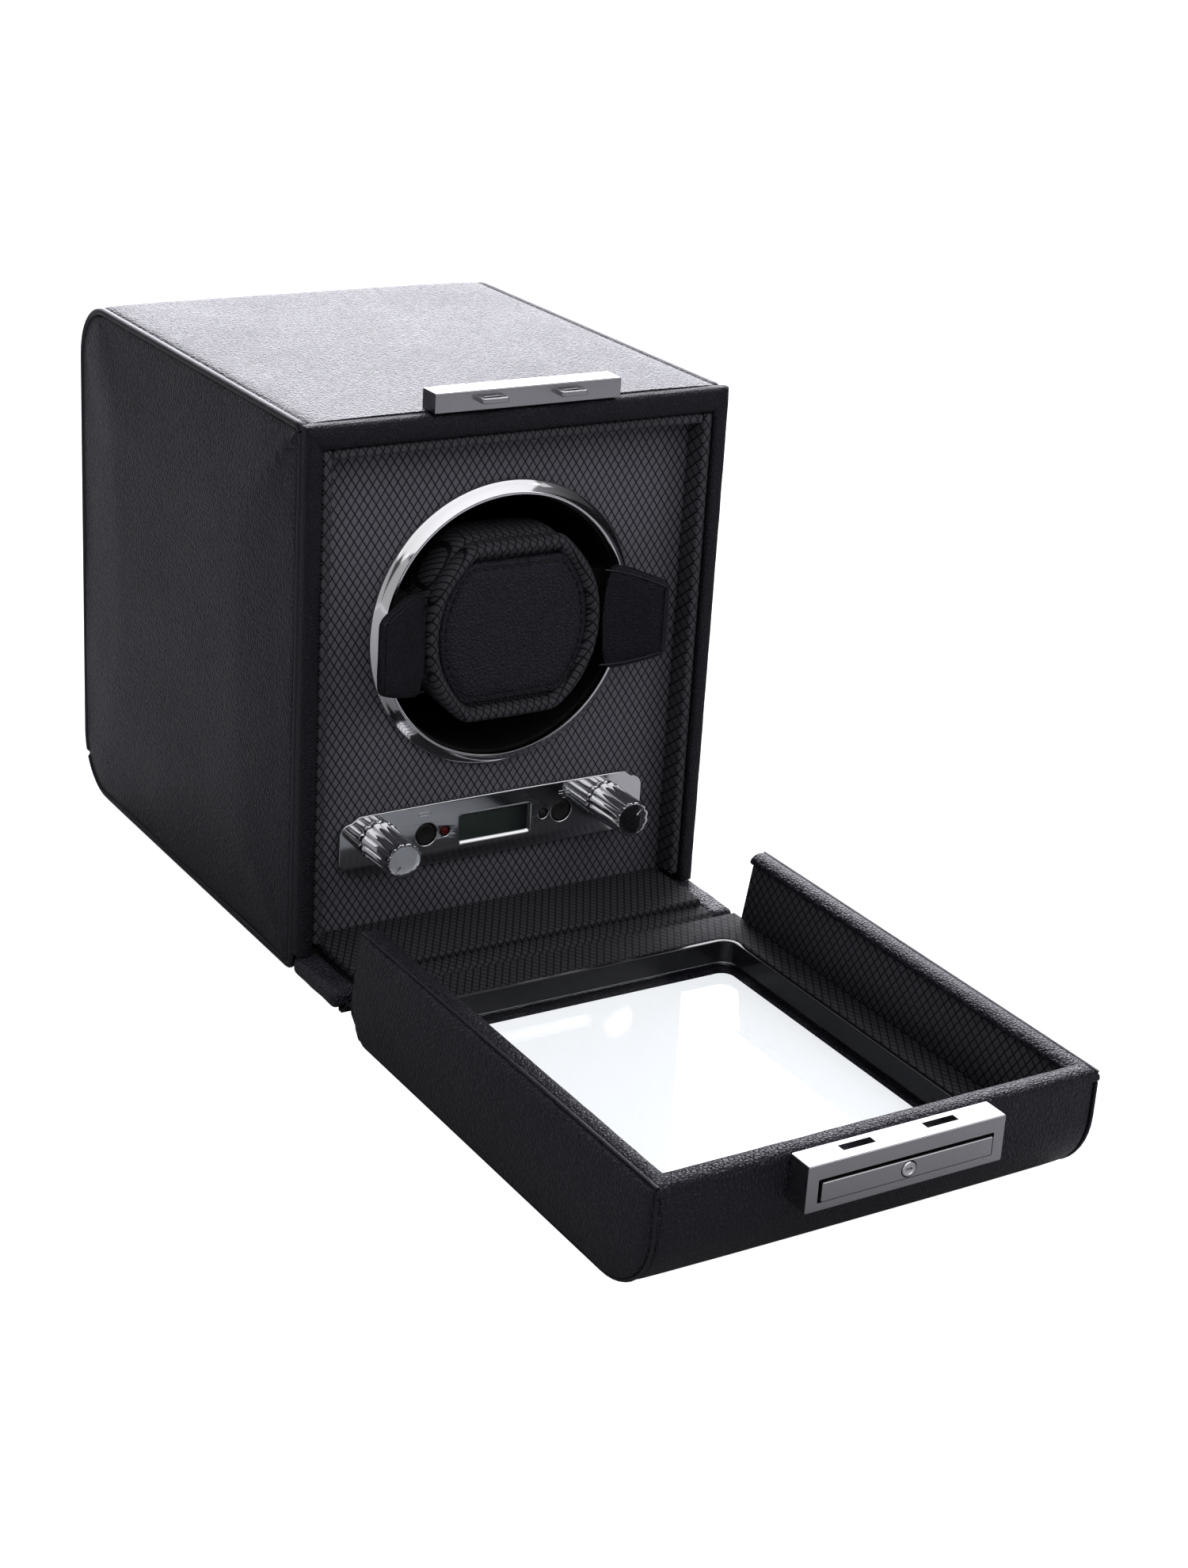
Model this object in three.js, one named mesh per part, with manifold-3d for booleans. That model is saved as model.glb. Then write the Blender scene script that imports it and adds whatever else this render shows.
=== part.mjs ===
// Watch winder box for one watch: a leather-covered case with a turning cup and a watch cuff in it,
// and a deep windowed lid that is hinged along the bottom of the front and lies open on the table.
//
// Frame: X to the right, Y to the back, Z up, in millimetres. The origin is on the underside of the
// base pad, under the middle of the case. The lid is drawn open, which is the rest position.

import * as THREE from 'three';
import { mergeVertices } from 'three/addons/utils/BufferGeometryUtils.js';
import Module from 'manifold-3d';

const wasm = await Module();
wasm.setup();

// ---- Driving dimensions ----

const GAP = 0.3; // clearance between touching pieces

const HALF_WIDTH = 70; // outside of the case and the lid
const CASE_HEIGHT = 171;
const CASE_DEPTH = 168;
const FRONT = -CASE_DEPTH / 2; // plane of the case's front rim
const BACK = CASE_DEPTH / 2;
const PAD_TOP = 2.9; // the base pad lifts the case off the table
const CASE_BOTTOM = PAD_TOP + GAP;
const REAR_RADIUS = 19; // rounding of the case's rear edges

const SKIN = 1.5; // leather over board
const SIDE_PAD = 1.8; // padded leather side panels
const SIDE_BOARD = 2.7; // board walls beside the opening
const FLOOR_BOARD = 4;
const TOP_BOARD = 5;
const BACK_BOARD = 4;

const RIM_DEPTH = 4; // leather edging round the case's opening
const OPENING_HALF = 64.9;
const OPENING_TOP = 163.9;
const LINER = 3; // fabric-covered liners just inside the opening

const SILL_FRONT = FRONT - 23.6;
const SILL_TOP = 9.5;
const SILL_STEP = 8.7;
const SILL_BOARD_TOP = 12;
const SILL_BOARD_HALF = 61.2;

const PANEL_FRONT = FRONT + 10; // front face of the inner panel
const PANEL_THICK = 3;
const PANEL_BACK = PANEL_FRONT + PANEL_THICK;

const AXIS_Z = 102.5; // height of the rotor's axis, which runs along Y
const RING_OUTER = 44.5;
const RING_LIP = 40.4;
const CUP_OUTER = 41.2;
const CUP_INNER = 40;
const CUP_FRONT = PANEL_FRONT - 1;
const CUP_BACK = 5;

const GEAR_MODULE = 1;
const ROTOR_TEETH = 48;
const PINION_TEETH = 12;
const GEAR_FRONT = 16;
const GEAR_BACK = 21;
const MOTOR_Z = AXIS_Z - (GEAR_MODULE * (ROTOR_TEETH + PINION_TEETH)) / 2 - 0.1;

const PLATE_FRONT = FRONT + 8.2; // polished control plate
const PLATE_THICK = 1.5;
const PLATE_BACK = PLATE_FRONT + PLATE_THICK;
const PLATE_Z = 38.2;
const KNOB_X = 39.7;
const KNOB_Z = 39;
const KNOB_RADIUS = 5.65;
const KNOB_FRONT = FRONT - 8.3;
const SMALL_Z = 38.4; // height of the buttons and the lights
const BUTTON_X = 23.7;
const BUTTON_RADIUS = 3.3;
const LED_X = 17.25;
const LED_RADIUS = 1.35;
const SWITCH_BACK = -60;

const CUFF_FRONT = FRONT + 1.2;
const CUFF_BACK = CUFF_FRONT + 36;
const CUFF_Z = 103;
const CUFF_HALF_X = 29.7;
const CUFF_HALF_Z = 27.7;
const CUFF_BOW = 33.7; // radius of the cuff's bowed sides
const PANEL_HALF_X = 25.3;
const PANEL_HALF_Z = 22.1;
const PANEL_BOW = 31.9;
const WING_ROOT = 32; // the wings bend about upright lines here
const WING_TIP = 51;
const WING_THICK = 3.4;
const WING_Y = FRONT + 2.1;
const WING_BEND = 0.45; // how far the wings stand bent forward, in radians

const HINGE_Y = FRONT - 29.25; // the lid turns about this line along X
const HINGE_Z = 6.75;
const LID_NEAR = HINGE_Y - (CASE_HEIGHT - HINGE_Z); // closed, this face is level with the case's top
const LID_NEAR_RADIUS = 22;
const LID_INSIDE_RADIUS = 12;
const LID_WALL_TOP = HINGE_Z + (FRONT - HINGE_Y) - GAP; // closed, this edge meets the case's rim
const LID_ROLL = 3.2; // height of the rolled leather on the wall tops
const LID_BOARD_TOP = LID_WALL_TOP - LID_ROLL - GAP;
const LID_FLOOR = 12;
const LID_INNER_HALF = 64;
const LID_WALL = HALF_WIDTH - LID_INNER_HALF;
const LID_HINGE_LOW = -114.4; // the lid board's edge beside the hinge line
const LID_WRAP_END = -124;
const LID_LINING = 1.4;

const WINDOW_HALF = 53;
const WINDOW_NEAR = FRONT - 174.5;
const WINDOW_FAR = FRONT - 46;
const WINDOW_RADIUS = 4;
const WINDOW_FRAME = 1.6;
const GLASS_BOTTOM = 2.7;
const GLASS_TOP = 4.6;

const CATCH_HALF = 30.7;
const CATCH_X = 13; // the two loops and their slots
const LATCH_DEPTH = 8.2;
const LATCH_BOTTOM = 22.5;
const LOCK_RADIUS = 2.1;

const DOOR_HALF = 31;
const DOOR_BOTTOM = 25;
const DOOR_TOP = 54;
const DOOR_THICK = 3;
const CELL_RADIUS = 7.1;
const CELL_HALF = 25;
const JACK_X = -48;
const JACK_Z = 38;

// ---- Materials ----

const material = (color, roughness, metalness = 0) =>
  new THREE.MeshStandardMaterial({ color, roughness, metalness });

const leather = material('#202024', 0.5);
const fabric = material('#2c2c31', 0.9);
const board = material('#8a7a64', 0.9);
const chrome = material('#d4d6da', 0.12, 1);
const steel = material('#9a9ca0', 0.35, 1);
const blackPlastic = material('#141416', 0.45);
const glossPlastic = material('#1a1a1d', 0.12);
const whitePlastic = material('#d9d8d2', 0.5);
const glass = material('#c9d2d6', 0.05);
const circuitGreen = material('#1f5a3a', 0.6);
const cellWrap = material('#3b3f46', 0.4);
const rubber = material('#1b1b1b', 0.95);
const ledRed = material('#8f1d1a', 0.2);

// ---- Geometry helpers ----

const box = (x0, x1, y0, y1, z0, z1) =>
  new THREE.BoxGeometry(x1 - x0, y1 - y0, z1 - z0).translate((x0 + x1) / 2, (y0 + y1) / 2, (z0 + z1) / 2);

// The corners of an outline, without the doubled ones where its arcs and lines meet.
function corners(path, curveSegments) {
  const all = path.getPoints(curveSegments);
  return all.filter((point, i) => point.distanceTo(all[(i + 1) % all.length]) > 1e-4);
}

function extrude(shape, length, bevel, curveSegments) {
  const outline = new THREE.Shape(corners(shape, curveSegments));
  outline.holes = shape.holes.map((hole) => new THREE.Path(corners(hole, curveSegments)));
  return new THREE.ExtrudeGeometry(outline, {
    depth: length - 2 * bevel,
    bevelEnabled: bevel > 0,
    bevelThickness: bevel,
    bevelSize: bevel,
    bevelOffset: -bevel,
    bevelSegments: 1,
  }).translate(0, 0, bevel);
}

const axes = (u, v, w) =>
  new THREE.Matrix4().makeBasis(new THREE.Vector3(...u), new THREE.Vector3(...v), new THREE.Vector3(...w));

// A (y, z) outline run along X.
function extrudeX(shape, x0, x1, bevel = 0, curveSegments = 8) {
  const geometry = extrude(shape, x1 - x0, bevel, curveSegments);
  return geometry.applyMatrix4(axes([0, 1, 0], [0, 0, 1], [1, 0, 0])).translate(x0, 0, 0);
}

// An (x, z) outline run along Y.
function extrudeY(shape, y0, y1, bevel = 0, curveSegments = 8) {
  const geometry = extrude(shape, y1 - y0, bevel, curveSegments);
  return geometry.applyMatrix4(axes([1, 0, 0], [0, 0, 1], [0, -1, 0])).translate(0, y1, 0);
}

// An (x, y) outline run along Z.
function extrudeZ(shape, z0, z1, bevel = 0, curveSegments = 8) {
  return extrude(shape, z1 - z0, bevel, curveSegments).translate(0, 0, z0);
}

// A profile of (radius, y) points turned about a line along Y through (x, z).
function turnY(profile, x, z, segments = 32) {
  const points = profile.map(([r, y]) => new THREE.Vector2(r, y));
  return new THREE.LatheGeometry(points, segments).translate(x, 0, z);
}

// A closed ring: the profile comes back to its first point.
const ringY = (profile, x, z, segments) => turnY([...profile, profile[0]], x, z, segments);

const rodY = (radius, y0, y1, x, z, segments = 24) =>
  turnY([[0, y0], [radius, y0], [radius, y1], [0, y1]], x, z, segments);

function polygon(points) {
  return new THREE.Shape(points.map(([u, v]) => new THREE.Vector2(u, v)));
}

function roundedRect(u0, u1, v0, v1, r) {
  const shape = new THREE.Shape();
  shape.moveTo(u0 + r, v0);
  shape.lineTo(u1 - r, v0);
  shape.absarc(u1 - r, v0 + r, r, -Math.PI / 2, 0);
  shape.lineTo(u1, v1 - r);
  shape.absarc(u1 - r, v1 - r, r, 0, Math.PI / 2);
  shape.lineTo(u0 + r, v1);
  shape.absarc(u0 + r, v1 - r, r, Math.PI / 2, Math.PI);
  shape.lineTo(u0, v0 + r);
  shape.absarc(u0 + r, v0 + r, r, Math.PI, 1.5 * Math.PI);
  return shape;
}

function circle(u, v, r, count = 16) {
  const points = [];
  for (let i = 0; i < count; i += 1) {
    const angle = (2 * Math.PI * i) / count;
    points.push([u + r * Math.cos(angle), v + r * Math.sin(angle)]);
  }
  return polygon(points);
}

function withHoles(shape, ...holes) {
  shape.holes.push(...holes);
  return shape;
}

// Flat at the top and the bottom, bowed at the sides, with rounded corners: the cuff's outline.
function bowedOutline(halfX, halfZ, bow, r) {
  const steps = 5;
  const lean = Math.asin((halfZ - r) / (bow - r));
  const cornerX = halfX - bow + (bow - r) * Math.cos(lean);
  const quarter = [];
  for (let i = 0; i <= steps; i += 1) {
    const angle = (lean * i) / steps;
    quarter.push([halfX - bow + bow * Math.cos(angle), bow * Math.sin(angle)]);
  }
  for (let i = 1; i <= 3; i += 1) {
    const angle = lean + ((Math.PI / 2 - lean) * i) / 3;
    quarter.push([cornerX + r * Math.cos(angle), halfZ - r + r * Math.sin(angle)]);
  }
  const mirrored = (u, v, points) => points.map(([x, z]) => [u * x, CUFF_Z + v * z]);
  const back = [...quarter].reverse();
  return polygon([
    ...mirrored(1, 1, quarter), ...mirrored(-1, 1, back.slice(0, -1)),
    ...mirrored(-1, -1, quarter), ...mirrored(1, -1, back.slice(0, -1)),
  ]);
}

function signedVolume(position, index) {
  const [a, b, c] = [new THREE.Vector3(), new THREE.Vector3(), new THREE.Vector3()];
  let sum = 0;
  for (let i = 0; i < index.length; i += 3) {
    a.fromBufferAttribute(position, index[i]);
    b.fromBufferAttribute(position, index[i + 1]);
    c.fromBufferAttribute(position, index[i + 2]);
    sum += a.dot(b.cross(c));
  }
  return sum;
}

// Merges the corners, drops empty triangles and turns every face outwards.
function closed(source) {
  const loose = source.clone();
  loose.deleteAttribute('normal');
  loose.deleteAttribute('uv');
  const geometry = mergeVertices(loose, 1e-4);
  const old = geometry.index.array;
  const index = [];
  for (let i = 0; i < old.length; i += 3) {
    const [a, b, c] = [old[i], old[i + 1], old[i + 2]];
    if (a !== b && b !== c && c !== a) index.push(a, b, c);
  }
  if (signedVolume(geometry.attributes.position, index) < 0) index.reverse();
  geometry.setIndex(index);
  return geometry;
}

function toSolid(source) {
  const geometry = closed(source);
  const vertProperties = new Float32Array(geometry.attributes.position.array);
  const triVerts = new Uint32Array(geometry.index.array);
  return new wasm.Manifold(new wasm.Mesh({ numProp: 3, vertProperties, triVerts }));
}

function toGeometry(solid) {
  const mesh = solid.getMesh();
  const geometry = new THREE.BufferGeometry();
  geometry.setAttribute('position', new THREE.BufferAttribute(mesh.vertProperties, mesh.numProp));
  geometry.setIndex(new THREE.BufferAttribute(mesh.triVerts, 1));
  return geometry;
}

const combine = (method, first, rest) =>
  toGeometry(rest.reduce((solid, next) => solid[method](toSolid(next)), toSolid(first)));
const cut = (first, ...rest) => combine('subtract', first, rest);
const join = (first, ...rest) => combine('add', first, rest);
const common = (first, ...rest) => combine('intersect', first, rest);

const model = new THREE.Group();

function add(name, geometry, look) {
  const mesh = new THREE.Mesh(closed(geometry), look);
  mesh.name = name;
  model.add(mesh);
}

const SIDES = [['left', -1], ['right', 1]];

// The same box on the left or on the right.
function sideBox(side, near, far, ...rest) {
  const [x0, x1] = side < 0 ? [-far, -near] : [near, far];
  return box(x0, x1, ...rest);
}

// ---- Case ----

// Side view of the case, drawn in by inset: square at the front, rounded at the back.
function caseOutline(inset, front) {
  const r = REAR_RADIUS - inset;
  const shape = new THREE.Shape();
  shape.moveTo(front, CASE_BOTTOM + inset);
  shape.lineTo(BACK - inset - r, CASE_BOTTOM + inset);
  shape.absarc(BACK - inset - r, CASE_BOTTOM + inset + r, r, -Math.PI / 2, 0);
  shape.lineTo(BACK - inset, CASE_HEIGHT - inset - r);
  shape.absarc(BACK - inset - r, CASE_HEIGHT - inset - r, r, 0, Math.PI / 2);
  shape.lineTo(front, CASE_HEIGHT - inset);
  return shape;
}

const BODY_FRONT = FRONT + RIM_DEPTH + GAP;
const WALL_OUTER = HALF_WIDTH - SIDE_PAD - GAP;
const CARCASS_INSET = SKIN + GAP;

// Openings through the back for the battery door and the power socket.
function rearOpenings() {
  const doorway = box(
    -DOOR_HALF - 0.4, DOOR_HALF + 0.4, BACK - 10, BACK + 5, DOOR_BOTTOM - 0.4, DOOR_TOP + 0.4);
  return [doorway, rodY(4.4, BACK - 10, BACK + 5, JACK_X, JACK_Z)];
}

function buildCase() {
  add('base_pad', extrudeZ(roundedRect(-62, 62, -72, 66, 6), 0, PAD_TOP), rubber);

  const shell = extrudeX(caseOutline(CARCASS_INSET, BODY_FRONT), -WALL_OUTER, WALL_OUTER);
  const cavityHalf = WALL_OUTER - SIDE_BOARD;
  const cavityFloor = CASE_BOTTOM + CARCASS_INSET + FLOOR_BOARD;
  const cavityTop = CASE_HEIGHT - CARCASS_INSET - TOP_BOARD;
  const cavityBack = BACK - CARCASS_INSET - BACK_BOARD;
  const cavity = new THREE.Shape();
  const r = 13;
  cavity.moveTo(BODY_FRONT - 5, cavityFloor);
  cavity.lineTo(cavityBack - r, cavityFloor);
  cavity.absarc(cavityBack - r, cavityFloor + r, r, -Math.PI / 2, 0);
  cavity.absarc(cavityBack - r, cavityTop - r, r, 0, Math.PI / 2);
  cavity.lineTo(BODY_FRONT - 5, cavityTop);
  add('case_carcass', cut(shell, extrudeX(cavity, -cavityHalf, cavityHalf), ...rearOpenings()), board);

  const wrapOuter = extrudeX(caseOutline(0, BODY_FRONT), -WALL_OUTER, WALL_OUTER);
  const wrapInner = extrudeX(caseOutline(SKIN, BODY_FRONT - 5), -HALF_WIDTH, HALF_WIDTH);
  add('case_wrap', cut(wrapOuter, wrapInner, ...rearOpenings()), leather);

  for (const [name, side] of SIDES) {
    const x0 = side < 0 ? -HALF_WIDTH : HALF_WIDTH - SIDE_PAD;
    add(`side_panel_${name}`, extrudeX(caseOutline(0, BODY_FRONT), x0, x0 + SIDE_PAD, 0.8), leather);
  }
}

// Leather edging round the opening, and the fabric-covered liners just inside it.
function buildOpening() {
  const rim = roundedRect(-HALF_WIDTH, HALF_WIDTH, SILL_TOP - 10, CASE_HEIGHT, 2.5);
  const inside = box(-OPENING_HALF, OPENING_HALF, FRONT - 1, FRONT + 10, -10, OPENING_TOP);
  const below = box(-80, 80, FRONT - 1, FRONT + 10, -20, SILL_TOP + GAP);
  add('front_rim', cut(extrudeY(rim, FRONT, FRONT + RIM_DEPTH), inside, below), leather);

  const linerFront = FRONT + 1;
  const linerBack = PANEL_FRONT - GAP;
  const linerTop = OPENING_TOP - GAP;
  for (const [name, side] of SIDES) {
    const bounds = [linerFront, linerBack, SILL_BOARD_TOP + GAP, linerTop];
    add(`liner_${name}`, sideBox(side, OPENING_HALF - GAP - LINER, OPENING_HALF - GAP, ...bounds), fabric);
  }
  const half = OPENING_HALF - 2 * GAP - LINER;
  add('liner_top', box(-half, half, linerFront, linerBack, linerTop - LINER, linerTop), fabric);
}

// The floor runs forward of the opening as a sill that the lid folds up against.
function buildSill() {
  const back = FRONT + RIM_DEPTH;
  const nose = (top, r) => {
    const shape = new THREE.Shape();
    shape.moveTo(back, CASE_BOTTOM);
    shape.lineTo(back, top);
    shape.lineTo(SILL_FRONT + r, top);
    shape.absarc(SILL_FRONT + r, top - r, r, Math.PI / 2, Math.PI);
    shape.lineTo(SILL_FRONT, CASE_BOTTOM);
    return shape;
  };
  const strips = SIDES.map(([, side]) => {
    const x0 = side < 0 ? -HALF_WIDTH : SILL_BOARD_HALF + GAP;
    return extrudeX(nose(SILL_TOP, 3), x0, x0 + HALF_WIDTH - SILL_BOARD_HALF - GAP, 0, 5);
  });
  const middle = extrudeX(nose(SILL_STEP, 2), -HALF_WIDTH + 2, HALF_WIDTH - 2, 0, 5);
  add('sill_frame', join(middle, ...strips), leather);

  const boardFront = FRONT - 18;
  const deck = roundedRect(-SILL_BOARD_HALF, SILL_BOARD_HALF, boardFront, PANEL_FRONT - GAP, 1);
  add('sill_board', extrudeZ(deck, SILL_STEP + GAP, SILL_BOARD_TOP, 0, 3), fabric);
}

// Inner panel with the holes for the cup, the display, the knobs, the buttons and the lights.
function buildFrontPanel() {
  const half = OPENING_HALF - GAP;
  const outline = polygon([[-half, 9.3], [half, 9.3], [half, OPENING_TOP], [-half, OPENING_TOP]]);
  outline.holes.push(circle(0, AXIS_Z, CUP_OUTER + 0.8, 48));
  outline.holes.push(roundedRect(-12.9, 12.9, 33, 43.4, 0.5));
  for (const [, side] of SIDES) {
    outline.holes.push(circle(side * KNOB_X, KNOB_Z, 3.4));
    outline.holes.push(circle(side * BUTTON_X, SMALL_Z, 3.9));
    outline.holes.push(circle(side * LED_X, SMALL_Z, 1.8));
  }
  add('front_panel', extrudeY(outline, PANEL_FRONT, PANEL_BACK), fabric);

  const foot = PANEL_FRONT - GAP;
  const lip = FRONT + 5.5;
  const profile = [
    [RING_OUTER, foot], [RING_OUTER, foot - 0.9], [43.6, foot - 2.4], [42.1, lip + 0.4], [41.3, lip],
    [RING_LIP, lip], [RING_LIP, lip + 1.2], [41, lip + 1.5], [42.4, foot - 1.3], [42.7, foot],
  ];
  add('bezel_ring', ringY(profile, 0, AXIS_Z, 48), chrome);
}

// ---- Controls ----

// Wide in the middle and lower at both ends, like a long label plate.
function plateOutline() {
  const half = 53;
  const middle = 9.75;
  const ends = 8;
  const shoulder = 46.5;
  const r = 4;
  const shape = new THREE.Shape();
  shape.moveTo(-shoulder, PLATE_Z - middle);
  shape.quadraticCurveTo(0, PLATE_Z - middle - 0.6, shoulder, PLATE_Z - middle);
  shape.lineTo(half - r, PLATE_Z - ends);
  shape.absarc(half - r, PLATE_Z - ends + r, r, -Math.PI / 2, 0);
  shape.absarc(half - r, PLATE_Z + ends - r, r, 0, Math.PI / 2);
  shape.lineTo(shoulder, PLATE_Z + middle);
  shape.quadraticCurveTo(0, PLATE_Z + middle + 0.6, -shoulder, PLATE_Z + middle);
  shape.lineTo(-half + r, PLATE_Z + ends);
  shape.absarc(-half + r, PLATE_Z + ends - r, r, Math.PI / 2, Math.PI);
  shape.absarc(-half + r, PLATE_Z - ends + r, r, Math.PI, 1.5 * Math.PI);
  return shape;
}

// Fluted chrome knob with a pointer groove in its cap, and its spindle behind.
function knob(side, pointerAngle) {
  const flutes = 18;
  const points = [];
  for (let i = 0; i < flutes * 2; i += 1) {
    const angle = (Math.PI * i) / flutes;
    const radius = KNOB_RADIUS - (i % 2) * 0.5;
    points.push([side * KNOB_X + radius * Math.cos(angle), KNOB_Z + radius * Math.sin(angle)]);
  }
  const body = extrudeY(polygon(points), KNOB_FRONT, PLATE_FRONT - GAP, 0.4);
  const spindle = rodY(2.9, PLATE_FRONT - 1, -64, side * KNOB_X, KNOB_Z, 16);
  const groove = box(1.6, KNOB_RADIUS + 1, KNOB_FRONT - 1, KNOB_FRONT + 0.7, -0.5, 0.5);
  groove.rotateY(-pointerAngle).translate(side * KNOB_X, 0, KNOB_Z);
  return cut(join(body, spindle), groove);
}

function buildControls() {
  const outline = plateOutline();
  outline.holes.push(roundedRect(-12.6, 12.6, 33.3, 43.1, 1));
  for (const [, side] of SIDES) {
    outline.holes.push(circle(side * KNOB_X, KNOB_Z, 3.3));
    outline.holes.push(circle(side * BUTTON_X, SMALL_Z, BUTTON_RADIUS + 0.3));
    outline.holes.push(circle(side * LED_X, SMALL_Z, LED_RADIUS + 0.3));
  }
  add('control_plate', extrudeY(outline, PLATE_FRONT, PLATE_BACK - GAP, 0, 6), chrome);

  const screen = box(-12.3, 12.3, PLATE_FRONT + 0.7, PANEL_BACK + 1, 33.6, 42.8);
  const body = box(-15.5, 15.5, PANEL_BACK + GAP, SWITCH_BACK, 30.5, 45.5);
  add('display_module', join(screen, body), glossPlastic);

  for (const [name, side] of SIDES) {
    const dome = PLATE_FRONT - 0.4;
    const profile = [[0, dome], [0.9, dome + 0.2], [LED_RADIUS, dome + 0.9], [LED_RADIUS, -73], [0, -73]];
    add(`led_${name}`, turnY(profile, side * LED_X, SMALL_Z, 16), side < 0 ? glossPlastic : ledRed);

    const pointer = side < 0 ? -2.4 : 0.75;
    add(`knob_${name}`, knob(side, pointer), chrome);

    const can = box(-7, 7, PANEL_BACK + GAP, SWITCH_BACK, -7, 7);
    const bore = rodY(3.2, PANEL_BACK, -62.5, 0, 0, 16);
    add(`rotary_switch_${name}`, cut(can, bore).translate(side * KNOB_X, 0, KNOB_Z), blackPlastic);
  }
  for (const [name, side] of [['minus', -1], ['plus', 1]]) {
    const front = PLATE_FRONT + 0.3;
    const profile = [[0, front + 0.4], [1.6, front + 0.2], [2.9, front], [BUTTON_RADIUS, front + 0.4],
      [BUTTON_RADIUS, front + 4], [1.8, front + 4], [1.8, -66], [0, -66]];
    add(`button_${name}`, turnY(profile, side * BUTTON_X, SMALL_Z, 20), blackPlastic);
  }
  const stands = SIDES.map(([, side]) =>
    box(side * BUTTON_X - 3, side * BUTTON_X + 3, -64.6, SWITCH_BACK + 1, SMALL_Z - 3, SMALL_Z + 3));
  const card = box(-50, 50, SWITCH_BACK + GAP, SWITCH_BACK + GAP + 1.6, 20, 51.5);
  add('circuit_board', join(card, ...stands), circuitGreen);
}

// ---- Rotor and its drive ----

function gear(teeth, thicknessFrom, thicknessTo, x, z, phase, bore) {
  const pitch = (GEAR_MODULE * teeth) / 2;
  const tip = pitch + 0.9 * GEAR_MODULE;
  const root = pitch - 1.2 * GEAR_MODULE;
  const step = (2 * Math.PI) / teeth;
  const points = [];
  for (let i = 0; i < teeth; i += 1) {
    const middle = phase + i * step;
    for (const [radius, turn] of [[root, -0.3], [tip, -0.13], [tip, 0.13], [root, 0.3]]) {
      const angle = middle + turn * step;
      points.push([x + radius * Math.cos(angle), z + radius * Math.sin(angle)]);
    }
  }
  return extrudeY(withHoles(polygon(points), circle(x, z, bore)), thicknessFrom, thicknessTo, 0, 6);
}

function buildRotor() {
  const floor = CUP_BACK - 2;
  const cup = [
    [0, floor], [CUP_INNER, floor], [CUP_INNER, CUP_FRONT], [CUP_OUTER, CUP_FRONT], [CUP_OUTER, CUP_BACK],
    [0, CUP_BACK],
  ];
  // Two pads inside the cup hold the cuff from the sides.
  const padFront = PANEL_FRONT + 4;
  const segment = rodY(CUP_INNER + 0.5, padFront, floor + 1, 0, AXIS_Z, 48);
  const pads = SIDES.map(([, side]) => {
    const height = [AXIS_Z - 11, AXIS_Z + 12];
    return common(segment, sideBox(side, CUFF_HALF_X + GAP, 60, padFront, floor + 1, ...height));
  });
  add('rotor_cup', join(turnY(cup, 0, AXIS_Z, 48), ...pads), blackPlastic);

  const flange = CUP_BACK + GAP;
  const shaft = [[0, flange], [7, flange], [7, flange + 1.8], [3, flange + 1.8], [3, 22], [0, 22]];
  add('rotor_shaft', turnY(shaft, 0, AXIS_Z, 24), steel);
  add('rotor_gear', gear(ROTOR_TEETH, GEAR_FRONT, GEAR_BACK, 0, AXIS_Z, Math.PI / 2, 3.3), whitePlastic);

  // A tooth gap of the pinion meets a tooth of the rotor's gear.
  const phase = Math.PI / 2 + Math.PI / PINION_TEETH;
  const pinion = gear(PINION_TEETH, GEAR_FRONT, GEAR_BACK, 0, MOTOR_Z, phase, 1);
  const spindle = rodY(1.5, GEAR_FRONT, 31, 0, MOTOR_Z, 16);
  add('motor_pinion', join(pinion, spindle), steel);
}

function buildDrive() {
  const wall = PANEL_BACK + GAP;
  const inner = CUP_OUTER + 1;
  const outer = inner + 1.8;
  const housing = [
    [inner, wall], [50, wall], [50, wall + 2], [outer, wall + 2], [outer, 9.5], [9.6, 9.5], [9.6, 7.5],
    [inner, 7.5],
  ];
  add('drum_housing', ringY(housing, 0, AXIS_Z, 40), blackPlastic);
  const bearing = [
    [3.4, 7.9], [9.3, 7.9], [9.3, 9.8], [12, 9.8], [12, 11.5], [5.5, 11.5], [5.5, 14.5], [3.4, 14.5],
  ];
  add('shaft_bearing', ringY(bearing, 0, AXIS_Z, 24), whitePlastic);

  const face = 22.5;
  const plate = box(-29, 29, face, face + 2, 56, 116);
  const legs = SIDES.map(([, side]) => sideBox(side, 27, 29, 9.8, face + 2, 74, 116));
  const clear = rodY(4, face - 1, face + 3, 0, MOTOR_Z, 20);
  add('motor_bracket', cut(join(plate, ...legs), clear), steel);

  const motorFront = face + 2 + GAP;
  const motorBack = 57;
  const motor = rodY(12, motorFront, motorBack, 0, MOTOR_Z, 32);
  add('gear_motor', cut(motor, rodY(1.8, motorFront - 1, 32, 0, MOTOR_Z, 16)), steel);
}

// ---- Power ----

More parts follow.
